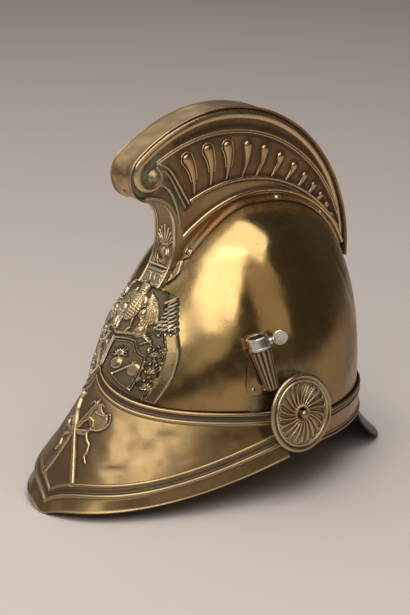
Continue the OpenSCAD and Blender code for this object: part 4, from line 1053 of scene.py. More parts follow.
def rollMarks(u, v):
    inEye = fade(u, 0.88, 0.1)
    return {"hollow": 0.35 * inEye, "ridge": 0.6, "green": 0.45 * inEye}


def rounded(path, times=3):
    # cuts the corners of a broken line
    path = np.array(path, float)
    for _ in range(times):
        near, far = 0.75 * path[:-1] + 0.25 * path[1:], 0.25 * path[:-1] + 0.75 * path[1:]
        path = np.concatenate([path[:1], np.stack([near, far], 1).reshape(-1, 2), path[-1:]])
    return path


def wire(name, path, radii, x, flat=1.0, green=0.0, edge=0.6):
    # a round line on the crest's side, with its own thickness at every point of the path
    path = np.array(path, float)
    run = runOf(path)
    length = run[-1]
    if np.isscalar(radii):
        radii = np.interp(run, [0, 0.5, length - 0.5, length], [0.05, radii, radii, 0.05])

    def shape(u, v):
        at, b = u * length, 2 * np.pi * v
        y, z, r = (np.interp(at, run, line) for line in (path[:, 0], path[:, 1], radii))
        dy, dz = (np.interp(at + 0.4, run, line) - np.interp(at - 0.4, run, line) for line in path.T)
        size = np.maximum(np.hypot(dy, dz), 1e-6)
        r = np.where((u <= 0) | (u >= 1), 0, r)
        return np.stack([x + flat * r * np.sin(b), y - r * np.cos(b) * dz / size, z + r * np.cos(b) * dy / size], -1)

    levels = {"hollow": 0, "ridge": edge, "green": green}
    return closedTube(name, max(24, int(length / 0.9)), 12, shape, lambda u, v: levels)


dropLook = {"bend": 0.085, "thinnest": 0.75, "flat": 0.6, "edge": 0.22,
            "rimGap": 1.15, "rimRadius": 0.55, "rimEdge": 0.4}


def dropPieces(name, hy, hz, r, ty, tz, rimmed):
    # a teardrop with its bent tail, and the thin rim round its head
    head, tail = np.array([hy, hz]), np.array([ty, tz])
    length = np.linalg.norm(tail - head)
    way = (tail - head) / length
    q = np.linspace(0, 1, 22)
    bend = dropLook["bend"] * length * np.sin(np.pi * q**0.9)
    line = head + q[:, None] * (tail - head) + bend[:, None] * np.array([1, 0.1])
    wide = dropLook["thinnest"] + (r - dropLook["thinnest"]) * (1 - q) ** 1.5
    turn = np.radians(np.linspace(4, 86, 8))
    cap = head - way * r * np.cos(turn)[:, None]
    made = [wire(name, np.concatenate([cap, line]), np.concatenate([r * np.sin(turn), wide[:-1], [0.2]]),
                 crest["halfField"] - 0.5, dropLook["flat"], edge=dropLook["edge"])]
    if rimmed:
        along = np.gradient(line, axis=0)
        along /= np.linalg.norm(along, axis=1, keepdims=True)
        side = np.stack([-along[:, 1], along[:, 0]], 1) * (wide + dropLook["rimGap"])[:, None]
        start, sweep = math.atan2(side[0, 1], side[0, 0]), np.linspace(0, math.pi, 16)[1:-1]
        if np.dot(onCircle((0, 0), 1, math.degrees(start + sweep[7])), way) > 0:
            sweep = -sweep
        loop = onCircle(head, r + dropLook["rimGap"], np.degrees(start + sweep))
        path = np.concatenate([(line + side)[14::-1], loop, (line - side)[:15]])
        made.append(wire(name + "Rim", path, dropLook["rimRadius"], crest["halfField"] - 0.4, edge=dropLook["rimEdge"]))
    return made


footArc = np.linspace(28, 128, 140)
footLine = onCircle(crest["footCentre"], np.interp(footArc, footTable, footRadii), footArc)


def arcOf(name, out, first, last, count):
    return onCircle(crest[name + "Centre"], crest[name + "Radius"] + out, np.linspace(first, last, count))


lineX = crest["halfField"]
lines = [wire("footRoll", footLine, 1.75, lineX + 0.1),
         wire("stepRoll", arcOf("step", 0, 33, 111.6, 150), 1.4, lineX + 0.1),
         wire("stepLine", arcOf("step", -2.7, 32, 111, 150), 0.45, lineX - 0.25),
         wire("filletOuter", arcOf("fillet", 1.8, 21, 117, 160), 0.7, lineX - 0.1),
         wire("filletInner", arcOf("fillet", 0, 20, 117, 160), 0.7, lineX - 0.1)]
for k, (path, radius, green) in enumerate(zip(stiles, (0.95, 0.7, 1.3), (0.1, 0.35, 0.3))):
    lines.append(wire("stile" + str(k), rounded(path), radius, lineX, green=green))
for k, drop in enumerate(drops):
    lines += dropPieces("drop" + str(k), *drop, k < rimmedDrops)
field = pressedSheet("crestField", 330, 104, fieldShape, (-60, 20, 200), crest["fieldThickness"], extra=fieldMarks)
roll = closedTube("crestRoll", 420, 20, rollShape, rollMarks)
curlDisc = turned("curlDisc", [(0, 0), (8, 0), (16.4, 0), (16.6, -0.4), (16.4, -1.2), (0, -1.2)],
                  (lineX + 0.2, *curlCentre), (1, 0, 0), 64)
eyeOutline = [(0, 4.3), (1.4, 4.1), (2.8, 3.4), (3.9, 2.1), (4.5, 0.6), (5.2, 0.2), (5.6, -0.6), (0, -0.8)]
eye = turned("scrollEye", eyeOutline, (lineX + 0.6, *eyeCentre), (1, 0, 0), 40)
crestLeft = joined("crestLeft", [field, roll, bare(curlDisc, 0.85, 0, 0.6), bare(eye, 0.45, 0.3, 0.3)] + lines)
crestRight = mirrored(crestLeft, "crestRight")
dress(crestLeft, crestBrass, "crest_left_side")
dress(crestRight, crestBrass, "crest_right_side")
print("crest sides made")

columnLook = {"columns": 100, "rows": 230, "width": 24, "back": -52, "neckZ": 192, "lowZ": 182, "bottomZ": 150,
              "depth": 7, "neckDepth": 3, "thickness": 1.1, "flameZ": 178.4, "flames": 9, "ball": (170.2, 5.0, 6.0),
              "barZ": 162.6}
columnTop = onCircle(curlCentre, crest["curl"], crest["curlEnd"] + 2.5)
turnSteps = np.linspace(0, math.pi / 2, 40)
fallSteps = np.linspace(columnLook["neckZ"], columnLook["bottomZ"], 60)[1:]
columnY = np.concatenate([columnTop[0] + (columnLook["back"] - columnTop[0]) * np.sin(turnSteps),
                          columnLook["back"] - 15.5 * (np.clip(columnLook["lowZ"] - fallSteps, 0, None) / 32) ** 2])
columnZ = np.concatenate([columnLook["neckZ"] + (columnTop[1] - columnLook["neckZ"]) * np.cos(turnSteps), fallSteps])
columnRun = runOf(np.stack([columnY, columnZ], 1))
columnRun /= columnRun[-1]


def columnLine(v):
    # place and backward direction of the column's front face
    y, z = (np.interp(v, columnRun, line) for line in (columnY, columnZ))
    before, after = np.maximum(0, v - 0.01), np.minimum(1, v + 0.01)
    dy, dz = (np.interp(after, columnRun, line) - np.interp(before, columnRun, line) for line in (columnY, columnZ))
    size = np.hypot(dy, dz)
    return y, z, -dz / size, dy / size


def columnFront(x, z):
    # relief of the column's face: borders, a flaming ball and the bar under it
    a, half, foot = np.abs(x), columnLook["width"] / 2, columnLook["flameZ"]
    height = bead(a - half + 1.2, 1.15, 1.5) + bead(a - half + 3.1, 0.6, 0.7) - 0.5 * fade(a, half - 3.8, -0.6)
    for n in range(columnLook["flames"]):
        turn = math.radians(-80 + 20 * n)
        reach = 13.5 - 5.5 * abs(n - 4) / 4
        flame = [(along * math.sin(turn * lean), foot + up * math.cos(turn * lean))
                 for along, up, lean in ((1.6, 1.2, 1), (reach * 0.55, reach * 0.6, 1.12), (reach, reach, 0.9))]
        height = np.maximum(height, stroke(x, z, flame, 0.6, 0.95 if n % 2 else 0.7, 1.1) - 0.1)
    ballZ, wide, tall = columnLook["ball"]
    ball = np.hypot(x / wide, (z - ballZ) / tall)
    height = np.maximum(height, bead(ball, 1, 2.6) - 0.2) + hill((ball - 1.14) * 5.4, 0.5, 0.8)
    return np.maximum(height, drawn(a, z, [([(0, 177.9), (3.4, 177.2)], 0.7, 0.7, 1.0),
                                           ([(7.2, 163.5), (8.0, 170), (7.0, 178)], 0.55, 0.4, 0.5),
                                           ([(0, columnLook["barZ"]), (half - 1, columnLook["barZ"])], 1.0, 1.0, 1.5)]))


def columnShape(u, v):
    # the face in the middle and, at both ends of u, the sides that run back to the skull
    y, z, ny, nz = columnLine(v)
    side = np.where(u < 0.1, 1 - u / 0.1, fade(u, 0.9, 0.1))
    x = columnLook["width"] * (fade(u, 0.1, 0.8) - 0.5)
    start = np.stack([x, y + 12 * ny, z + 12 * nz], -1)
    reach = 12 - hitSkull(start, np.stack([0 * y, -ny, -nz], -1), 0.6, 0, 12)
    upper = fade(z, columnLook["neckZ"] - 3, 6)
    deep = np.minimum(columnLook["depth"], reach) * (1 - upper) + columnLook["neckDepth"] * upper
    back = 0.4 - columnFront(x, z) * (side <= 0) + (deep - 0.4) * side
    return np.stack([x, y + back * ny, z + back * nz], -1)


def columnMarks(u, v, points, marks):
    x, z = points[..., 0], points[..., 2]
    height = columnFront(x, columnLine(v)[1]) * (np.abs(x) < 11.9)
    lift = height - blur(height, 14)
    ground = np.clip(0.55 - height, 0, 1) * (np.abs(x) < 9.5)
    return {"hollow": 0.85 * ground - lift / 0.6, "ridge": lift / 0.5, "green": 0.5 * fade(z, 205, 10)}


columnFace = pressedSheet("columnFace", columnLook["columns"], columnLook["rows"], columnShape, (0, 20, 170),
                          columnLook["thickness"], extra=columnMarks)

# outline of the column's lobed end by the distance from its middle, and the lines on its right half
lobeLook = {"columns": 110, "rows": 60, "width": 34, "thickness": 0.8, "gap": 1.4, "eye": (11.2, 155.6),
            "topX": [0, 10.8, 11.6, 12.6, 15, 16.6, 17], "topZ": [161.4, 161.4, 166, 168.6, 166, 162, 160.6],
            "lowX": [0, 2, 4.5, 8, 11, 14, 16, 17], "lowZ": [152.8, 151.4, 150.4, 150.6, 151.8, 154.2, 157.5, 160.5]}
lobeLines = [([(0, 160.2), (8, 160.2), (11.2, 162.4), (12.4, 167), (13.6, 166.4), (15.8, 161.4), (16.4, 159.4)],
              0.8, 0.7, 1.2),
             ([(16.2, 160), (15.2, 157), (13, 154.4), (10, 152.6), (6, 151.6), (3, 152.2)], 0.8, 0.6, 1.1)]
lobeScrolls = [([(8.4, 157.5), (5, 158.6), (2.4, 156.8), (3.4, 154.5)], 0.5, 0.5, 0.7),
               ([(0, 153.4), (1.8, 155.4), (2.2, 158)], 0.5, 0.5, 0.8)]


def lobeRelief(x, z):
    a = np.abs(x)
    ring = np.hypot(a - lobeLook["eye"][0], z - lobeLook["eye"][1])
    height = drawn(a, z, lobeLines) + hill(ring - 2.6, 0.55, 0.9) - hill(ring, 1.0, 1.2)
    return np.maximum(height, drawn(a, z, lobeScrolls))


def lobeShape(u, v):
    # the middle lies on the column, the ears lie back on the skull
    x = lobeLook["width"] * (u - 0.5)
    a = np.abs(x)
    top, low = np.interp(a, lobeLook["topX"], lobeLook["topZ"]), np.interp(a, lobeLook["lowX"], lobeLook["lowZ"])
    z = top + (low - top) * v
    near = np.interp(-z, -columnZ, columnY) - lobeLook["gap"]
    share = fade(a, 7.5, 4.5)
    share = share * share * (3 - 2 * share)
    y = near * (1 - share) + np.minimum(frontPoint(x, z, lobeLook["gap"])[..., 1], near + 20) * share
    return np.stack([x, y - lobeRelief(x, z), z], -1)


def lobeMarks(u, v, points, marks):
    height = lobeRelief(points[..., 0], points[..., 2])
    lift = height - blur(height, 8)
    return {"hollow": 0.3 - lift / 0.4, "ridge": lift / 0.5, "green": 0.3}


lobes = pressedSheet("columnFoot", lobeLook["columns"], lobeLook["rows"], lobeShape, (0, 20, 150),
                     lobeLook["thickness"], extra=lobeMarks)
column = joined("crestColumn", [columnFace, lobes])
dress(column, ornamentBrass, "crest_front_column")


def rivetModel(radius, height, ringed=False):
    # a domed head at the origin, with a raised ring round it where it is ringed
    head = [(0, 1), (0.36, 0.93), (0.62, 0.66), (0.74, 0.25)]
    brim = [(0.8, 0.2), (0.95, 0.42), (1.08, 0.22)] if ringed else [(0.95, 0.1)]
    outline = [(radius * r, height * h) for r, h in head + brim + [(1.1, 0), (0, 0)]]
    piece = turned("rivetModel", outline, (0, -midY, 0), (0, 0, 1), 24, 50)
    inEditMode(piece, faceOutwards)
    return bare(piece, 0, 0.6)


def flangeNormal(x, b):
    side = footPoint(x + 1, b, 0.0) - footPoint(x - 1, b, 0.0)
    along = footPoint(x, b + 1, 0.0) - footPoint(x, b - 1, 0.0)
    way = np.cross(along, side)[0]
    return way / np.linalg.norm(way) * (1 if way[2] > 0 else -1)


crestRivetLook = {"angles": (129.0, 77.0, 50.0, 28.0), "radius": 2.8, "height": 1.4, "outside": 2.0, "inside": -2.1}
rivetX = crest["halfField"] + crest["flange"] * 0.62
crestRivetSpots = []
for angle in crestRivetLook["angles"]:
    b = np.array([angle])
    out, under = (footPoint(rivetX, b, crestRivetLook[side])[0] for side in ("outside", "inside"))
    way = flangeNormal(rivetX, b)
    for flip in (np.array([-1, 1, 1]), np.array([1, 1, 1])):
        crestRivetSpots += [(out * flip, way * flip), (under * flip, -way * flip)]
crestRivet = rivetModel(crestRivetLook["radius"], crestRivetLook["height"], True)
crestRivets = copiesAt(crestRivet, "crestRivets", crestRivetSpots)
dress(crestRivets, rivetBrass, "crest_rivets")
print("crest made")

plateLook = {"columns": 210, "rows": 200, "gap": 2.1, "top": 150.5, "halfFoot": 39, "ribbon": 8, "thickness": 0.9,
             "edgeZ": [76, 80, 88, 95, 106, 112, 117, 122, 126, 132, 137, 141, 145, 147, 148.5, 150.5],
             "edgeX": [39, 40.5, 43, 44.5, 44.2, 43, 41, 38.6, 36.4, 33.5, 31, 29, 27.5, 26.5, 20, 11]}
# the left half of the plate's drawing as (x, z) paths, each with its first and last half width and its height
plateStrokes = [
    # the shields' borders, inner lines, middle bar and foot
    ([(0.8, 117.6), (9, 117.6), (15, 116.4), (17.2, 112.2), (20.4, 109), (24.6, 107.2), (25.4, 104.6), (25.3, 95),
      (23, 84)], 0.75, 0.75, 1.5),
    ([(0.8, 115.8), (9, 115.8), (13.8, 115), (16, 110.8), (19.6, 107.4), (23.2, 105.6), (23.6, 95), (21.4, 85)],
     0.35, 0.35, 0.7),
    ([(0.6, 99), (0.6, 117)], 0.7, 0.7, 1.3),
    ([(5.2, 97), (9, 93.4), (15, 88.6), (23, 84)], 0.7, 0.7, 1.3),
    # grenade's neck, axe's handle and its spike
    ([(8.4, 104.6), (8.2, 107.4)], 0.8, 0.7, 1.1),
    ([(8.6, 94.2), (19.8, 102.0)], 0.7, 0.75, 1.3),
    ([(16.4, 103.4), (18.4, 102.6), (20.8, 103.6)], 0.5, 0.4, 1.0),
    # a wing's leading arc, its tip, and the eagle's legs
    ([(12.6, 150), (16.6, 149), (19.6, 146.4), (21.4, 142.6), (21.8, 139)], 1.0, 0.8, 2.4),
    ([(22.6, 142.8), (25, 144), (27.2, 146.8)], 1.0, 0.5, 2.0),
    ([(10.4, 130.4), (12.6, 127), (12.2, 125.4)], 1.2, 0.8, 1.9),
    ([(5.2, 130), (6.6, 124.6), (5, 122.4)], 1.1, 0.8, 1.7),
]
# folds at the ribbon's ends
plateStrokes += [(path, 0.6, 0.5, 1.3) for path in (
    [(31.4, 122.6), (27.4, 126.6), (28, 131)], [(37.4, 123.6), (33.2, 128), (29, 127.2)],
    [(27, 121), (22.6, 123.8), (21.4, 131)], [(22.6, 125.4), (26, 130.6)], [(27.6, 121.6), (27.8, 126.4)],
    [(29.8, 127.4), (34, 121.8), (36, 126)], [(18.4, 114.6), (24.4, 117.8), (26, 110)])]
# the grenade's flames, the thunderbolt's rays and the wing's long feathers
for n in range(9):
    turn, reach = math.radians(-100 + 25 * n), 4.6 if n % 2 else 5.4
    flame = [(8.2 + share * reach * math.sin(turn * lean), 107.6 + share * reach * math.cos(turn * lean))
             for share, lean in ((0, 1), (0.5, 1.1), (1, 1))]
    plateStrokes.append((flame, 0.75, 0.45, 1.2))
plateStrokes += [([(14.6, 121), (21 + 1.2 * n, 122.6 - 1.9 * n)], 0.6, 0.35, 1.2) for n in range(5)]
for n in range(9):
    root, tip = (8.6 + 0.85 * n, 146 - 0.5 * n), (11.4 + 1.42 * n, 124.4 + 0.62 * n)
    plateStrokes.append(([root, ((root[0] + tip[0]) / 2 + 0.9, (root[1] + tip[1]) / 2), tip], 0.55, 0.7, 1.15))
# rows of short feathers along the wing's edge
plateFeathers = []
for n in range(8):
    end = 127.6 + 2.4 * n
    outer = np.interp(end, plateLook["edgeZ"], plateLook["edgeX"])
    for back, tall in ((0.2 + 0.5 * (n % 2), 1.2), (4.2 + 0.6 * (n % 2), 1.3), (8.0, 1.2)):
        root, tip = (outer - back - 3.6, end - 2.3), (outer - back, end + 0.5 - 0.25 * back)
        plateFeathers.append(([root, ((root[0] + tip[0]) / 2, (root[1] + tip[1]) / 2 - 0.6), tip], 0.9, 0.5, tall))


def plateEdge(z):
    teeth = 0.9 * np.abs(np.sin((z - 124) * math.pi / 4.2)) * fade(z, 124, 2) * fade(z, 147, -2)
    return np.interp(z, plateLook["edgeZ"], plateLook["edgeX"]) + teeth


def ellipse(x, z, cx, cz, rx, rz, turn=0.0):
    # 1 on the ellipse and less inside it
    c, s = math.cos(math.radians(turn)), math.sin(math.radians(turn))
    return np.hypot(((x - cx) * c + (z - cz) * s) / rx, (-(x - cx) * s + (z - cz) * c) / rz)


def leaf(x, z, root, tip, half, height):
    # a pointed leaf with raised edges and a vein
    length = math.dist(root, tip)
    dx, dz = (tip[0] - root[0]) / length, (tip[1] - root[1]) / length
    t = ((x - root[0]) * dx + (z - root[1]) * dz) / length
    side = np.abs(-(x - root[0]) * dz + (z - root[1]) * dx)
    wide = half * np.clip(4 * t * (1 - t), 0, None) ** 0.7
    lines = np.maximum(hill(side - wide * 0.82, 0.42, height), hill(side, 0.3, 0.55 * height))
    return np.where((t > 0) & (t < 1) & (side < wide + 0.8), lines, 0)


def plateRelief(x, z):
    a = np.abs(x)
    parts = [0 * a, drawn(a, z, plateStrokes), drawn(a, z, plateFeathers) * (a > 23.2)]
    # grenade and axe blade on the shields
    ring = np.hypot(a - 8.6, z - 101.4)
    blade = np.maximum(np.hypot(a - 20.4, z - 98) / 3.6, 1.25 - np.hypot(a - 19.2, z - 103.2) / 3.9)
    parts += [bead(ring, 3.1, 1.5) + hill(ring - 3.3, 0.5, 0.9),
              np.clip((1 - blade) * 4, 0, 1) + hill(blade - 1, 0.14, 0.5) * (blade < 1.2)]
    # leaves and berries between the shields and the ribbon
    for base, size in ((84.6, 10.4), (95.8, 10.2), (106.8, 8.2)):
        mid = 31 if base < 100 else 30
        for lean in (-1, 0, 1):
            root, tip = (mid + lean * 1.2, base + 0.4), (mid + lean * 4.9, base + size - 1.6 * abs(lean))
            parts.append(leaf(a, z, root, tip, 2.0, 1.7))
        parts.append(stroke(a, z, [(mid, base - 2.4), (mid, base + 1.6)], 0.5, 0.5, 1.0))
    # bare ribbon along the side, with raised border lines
    inner, low = plateEdge(z) - a, fade(z, 123.5, -1.5)
    borders = bead(inner - plateLook["ribbon"], 0.55, 1.4) + bead(inner - plateLook["ribbon"] - 1.3, 0.35, 0.8)
    parts += [bead(inner - 0.9, 0.75, 1.5) * low, borders * low * fade(a, 20, 3),
              0.45 * low * (inner > 0.9) * (inner < plateLook["ribbon"])]
    # thunderbolt bar under the eagle
    twist = 0.25 * np.sin(a * 4.2) * (np.abs(z - 120.7) < 1.1) * (a < 11)
    parts.append(stroke(a, z, [(0, 120.6), (11, 120.8)], 1.15, 1.15, 1.6) + twist)
    # breast, neck, shoulder, thigh and claw of the eagle
    breast, claw = ellipse(a, z, 0, 137.5, 7.2, 9.5), ellipse(a, z, 13.9, 122.9, 3.7, 3.6, 35)
    feathers = 0.5 * np.abs(np.sin(z * 1.9 + a * 0.6)) * np.abs(np.cos(a * 1.5)) * (breast < 0.95)
    neckFeathers = 0.35 * np.abs(np.sin(z * 2.6)) * (np.hypot(a / 4.4, (z - 148.5) / 6) < 1)
    parts += [bead(breast, 1, 3.2) + feathers, bead(ellipse(a, z, 0, 148.5, 4.6, 6.2), 1, 3.6) + neckFeathers,
              bead(ellipse(a, z, 6.2, 140.6, 3.2, 4.4, 24), 1, 2.8), bead(ellipse(a, z, 10.0, 133.2, 3.1, 3.4), 1, 3.2),
              bead(claw, 1, 3.2) + hill((claw - 1.1) * 3.7, 0.45, 0.8)]
    return np.maximum.reduce(parts)


def plateShape(u, v):
    side = 2 * u - 1
    foot = browOver(side * plateLook["halfFoot"]) + 2.2
    top = plateLook["top"] - 0.6 * np.abs(side) - 4.0 * fade(np.abs(side), 0.7, 0.3) ** 2
    z = foot + (top - foot) * v
    return frontPoint(side * plateEdge(z), z, plateLook["gap"])


def plateHeight(u, v, points):
    edge = fade(np.minimum.reduce([u, 1 - u, v * 1.2, (1 - v) * 1.2]), 0, 0.008)
    return plateRelief(points[..., 0], points[..., 2]) * (0.25 + 0.75 * edge) - 0.9 * (1 - edge)


def plateMarks(u, v, points, marks):
    x, z = points[..., 0], points[..., 2]
    height = plateRelief(x, z)
    lift = height - blur(height, 7)
    rim = hill(plateEdge(z) - np.abs(x), 1.4, 0.3) * fade(z, 150, -4)
    ground = 0.72 * fade(height, 0.4, -0.3)
    return {"hollow": ground - lift / 0.5, "ridge": lift / 0.35, "green": 0.06 + rim, "tarnish": 0.1}


plate = pressedSheet("platePressed", plateLook["columns"], plateLook["rows"], plateShape, (0, 40, 110),
                     plateLook["thickness"], plateHeight, plateMarks)
dress(plate, ornamentBrass, "front_plate")


def insideRivets(name, spots, node):
    made = [(skullPoint(a, z, -2.1), -skullNormal(a, z)) for a, z in spots]
    dress(copiesAt(rivetModel(2.0, 1.0), name, made), rivetBrass, node)


def underBrow(f):
    return float(browHeight(dome["halfWidth"] * abs(math.sin(math.radians(f))))) - 4


insideRivets("platePins", [(a, z) for a in (-72.0, -108.0) for z in (100.0, 130.0)], "front_plate_pins")
insideRivets("visorRivets", [(f - 90.0, underBrow(f)) for f in (-72, -54, -27, 27, 54, 72)], "visor_rivets")
neckRivetSpots = [(a, 55.5) for a in (18.0, 54.0, 126.0, 162.0)]
neckRivetSpots += [(90.0 + side * a, 42.0) for side in (-1, 1) for a in (15, 35)]
insideRivets("neckRivets", neckRivetSpots, "neck_guard_rivets")
print("front plate made")


def emblemPlace(u, v):
    return (emblemLook["left"] + (emblemLook["right"] - emblemLook["left"]) * u,
            emblemLook["top"] + (emblemLook["foot"] - emblemLook["top"]) * v)


def emblemShape(u, v):
    return visorSheet(*emblemPlace(u, v))


def emblemHeight(u, v, points):
    f, share = emblemPlace(u, v)
    return panelDents(f, share, points) + emblemLook["base"] + emblemRelief(f, share)


def emblemMarks(u, v, points, marks):
    height = emblemRelief(*emblemPlace(u, v))
    lift = height - blur(height, 12)
    return {"hollow": -lift / 0.4, "ridge": lift / 0.9, "green": 0.05}


emblem = pressedSheet("emblemPressed", emblemLook["columns"], emblemLook["rows"], emblemShape, (0, -40, 60),
                      emblemLook["thickness"], emblemHeight, emblemMarks)
dress(emblem, ornamentBrass, "visor_emblem")
print("emblem made")

tilt = math.radians(90 - rosetteLook["tilt"])
rosetteOut = np.array([math.sin(tilt), 0, math.cos(tilt)])
rosetteDown = np.array([math.cos(tilt), 0, -math.sin(tilt)])
rosetteOutline = [(0, 2.7), (7, 2.7), (14, 2.6), (20, 2.3), (22.4, 1.9), (23.4, 1.6), (24.6, 1.6), (25.4, 1.9),
                  (26.6, 2.5), (27.8, 2.2), (28.6, 0.9)]


def rosetteHeight(r, degrees):
    # the boss with its spiral flutes, their raised edges and the ring round them
    base = np.interp(r, *zip(*rosetteOutline))
    pitch = 360 / rosetteLook["flutes"]
    swirl = degrees - rosetteLook["twist"] * fade(r, 6, 15.5) ** 0.8
    side = np.abs((swirl / pitch + 0.5) % 1 - 0.5) * math.radians(pitch) * r
    wide = 0.36 * math.radians(pitch) * np.clip(r, 0, 21.4)
    wide = wide * bead(fade(r, 18.6, 3.4), 1, 1) * fade(r, 5.6, 1.5) ** 0.5
    scoop = bead(side, np.maximum(wide, 0.05), 1.9) * fade(wide, 0, 0.9) * (r < 22) * (r > 5.6)
    crown = hill(side - wide - 0.28, 0.3, 0.35) * (r > 6.5) * (r < 22)
    return base - scoop + crown + bead(r - 23.6, 0.75, 1.3) + bead(r - 6.0, 0.7, 0.5)


def rosetteRadius(v):
    return rosetteLook["hub"] + (rosetteLook["radius"] - rosetteLook["hub"]) * v


def rosetteShape(u, v):
    r, a = rosetteRadius(v), 2 * np.pi * u
    around = np.cos(a)[..., None] * rosetteDown + np.sin(a)[..., None] * np.array([0, 1, 0])
    return np.array(rosetteLook["centre"]) + r[..., None] * around + rosetteHeight(r, 360 * u)[..., None] * rosetteOut


def rosetteMarks(u, v, points, marks):
    r = rosetteRadius(v)
    height = rosetteHeight(r, 360 * u)
    lift, rim = height - blur(height, 10), hill(r - 22.2, 1.2)
    lowSide = np.clip(-np.cos(2 * np.pi * (u - 0.3)), 0, 1)
    return {"hollow": 0.25 * rim - lift / 0.6, "ridge": lift / 0.4, "green": 0.45 * rim + 0.35 * (r > 26) * lowSide}


rosetteLeft = pressedSheet("rosetteFace", 440, 76, rosetteShape, (60, -6.3, 60), 0.9, extra=rosetteMarks, closed=True)
rosetteRight = mirrored(rosetteLeft, "rosetteRight")
dress(rosetteLeft, rosetteBrass, "rosette_left")
dress(rosetteRight, rosetteBrass, "rosette_right")

knobOutline = [(0, 7.4), (1.1, 7.25), (2.1, 6.8), (2.9, 6.0), (3.3, 5.2), (3.3, 4.8), (3.1, 4.4), (2.05, 4.4),
               (2.05, -14.3), (1.8, -14.6), (0, -14.6)]
knob = bare(turned("knobLeft", knobOutline, rosetteLook["centre"], (1, 0, 0), 40, 45), 0.35, 0.1)
dress(joined("rosetteKnobs", [knob, mirrored(knob, "knobRight")]), rivetBrass, "rosette_studs")

nutLook = {"radius": 4, "height": 1.6, "bevel": 0.3, "bore": 2.2, "place": (83.4, -6.3, 65.5)}
bpy.ops.mesh.primitive_cylinder_add(vertices=6, radius=nutLook["radius"] / 1000, depth=nutLook["height"] / 1000)
nut = newest("rosetteNut")
finishWith(nut, "BEVEL", width=nutLook["bevel"] / 1000, segments=2)
drilled(nut, nutLook["bore"] / 1000, 0.01)
smooth(bare(nut, 0.2), 30)
nutX, nutY, nutZ = nutLook["place"]
nuts = copiesAt(nut, "rosetteNuts", [((side * nutX, nutY, nutZ), (side, 0, 0)) for side in (-1, 1)])
dress(nuts, rivetBrass, "rosette_nuts")
print("rosettes made")

socketLook = {"mouth": np.array([80.8, -34.3, 124.6]), "axis": np.array([-9.6, -7.1, 38.6]), "ribs": 12,
              "ribDepth": 0.075, "screwAxis": np.array([0.38, 0.9, 0.26]), "screwDrop": 6, "discReach": 16.2}
socketAxis = socketLook["axis"] / np.linalg.norm(socketLook["axis"])
screwAxis = socketLook["screwAxis"] / np.linalg.norm(socketLook["screwAxis"])
screwFoot = socketLook["mouth"] - socketAxis * socketLook["screwDrop"]
acrossSocket = np.cross(socketAxis, [0, 0, 1.0])
acrossSocket /= np.linalg.norm(acrossSocket)
besideSocket = np.cross(socketAxis, acrossSocket)
# outlines of the socket's parts and the screw as (radius, height); the tube's runs from its foot over the mouth
# and down the bore
tubeOutline = np.array([(0, -40), (3.6, -40), (4.5, -39.6), (4.9, -38.6), (5.6, -30), (6.3, -23), (7.0, -16),
                        (7.6, -10), (7.5, -9.4), (6.6, -9.3), (6.6, -0.4), (6.3, 0), (4.9, 0), (4.5, -0.4),
                        (4.5, -28), (0, -28)])
collarOutline = [(6.65, -0.2), (6.9, 0.15), (7.8, 0.15), (8.2, -0.3), (8.2, -1.6), (7.9, -1.9), (7.9, -7.2),
                 (8.2, -7.5), (8.2, -8.6), (7.9, -9), (6.65, -9), (6.65, -0.2)]
bossOutline = [(1.55, 9.8), (2.5, 9.8), (2.8, 9.5), (2.8, 7.3), (1.55, 7.3), (1.55, 9.8)]
thread = [(1.5 - 0.12 * (n % 2), 5.0 + 0.4 * n) for n in range(1, 13)]
shankOutline = [(0, 4.7), (1.2, 4.7), (1.5, 5.0), *thread, (1.5, 10.1), (2.4, 10.1), (2.6, 10.3), (2.6, 11.3),
                (2.2, 11.6), (1.3, 12.4), (0, 12.4)]
discOutline = [(0, 0.75), (3.9, 0.75), (4.5, 0.9), (5.2, 0.9), (5.6, 0.5), (5.6, -0.5), (5.2, -0.9), (4.5, -0.9),
               (3.9, -0.75), (0, -0.75)]


def tubeShape(u, v):
    k, a = u * (len(tubeOutline) - 1), 2 * np.pi * v
    r, h = (np.interp(k, range(len(tubeOutline)), line) for line in tubeOutline.T)
    ribbed = fade(k, 1.5, 1.5) * fade(k, 7.4, -0.4)
    r = r * (1 + ribbed * socketLook["ribDepth"] * (2 * np.abs(np.cos(socketLook["ribs"] / 2 * a)) ** 0.8 - 1.1))
    around = (r * np.cos(a))[:, None] * acrossSocket + (r * np.sin(a))[:, None] * besideSocket
    return socketLook["mouth"] + h[:, None] * socketAxis + around


def tubeMarks(u, v):
    outside = u * (len(tubeOutline) - 1) < 8
    valley = 1 - np.abs(np.cos(socketLook["ribs"] * np.pi * v))
    return {"hollow": np.where(outside, 0.9 * valley**1.5, 0.9), "ridge": 0.8 * (1 - valley) ** 2 * outside, "green": 0}


def outOfSkull(p):
    steps = np.eye(3) * 0.5
    way = np.array([float(depthIn((p + s)[None])[0] - depthIn((p - s)[None])[0]) for s in steps])
    return way / np.linalg.norm(way)


tube = closedTube("socketTube", 6 * (len(tubeOutline) - 1), 192, tubeShape, tubeMarks)
socketParts = [tube]
for k, drop in enumerate((17, 34)):
    # a short post from the tube down to the skull
    p = socketLook["mouth"] - socketAxis * drop
    way = outOfSkull(p)
    reach = 30 - float(hitSkull((p - way * 30)[None], way[None], 2.1, 0, 30)[0])
    outline = [(0, reach), (3.4, reach), (3.4, reach - 0.8), (2.9, reach - 1.4), (2.9, 5.0), (0, 5.0)]
    socketParts.append(bare(turned("socketPost" + str(k), outline, p, -way, 28), 0.4))
dress(joined("plumeSocket", socketParts), socketBrass, "plume_socket")

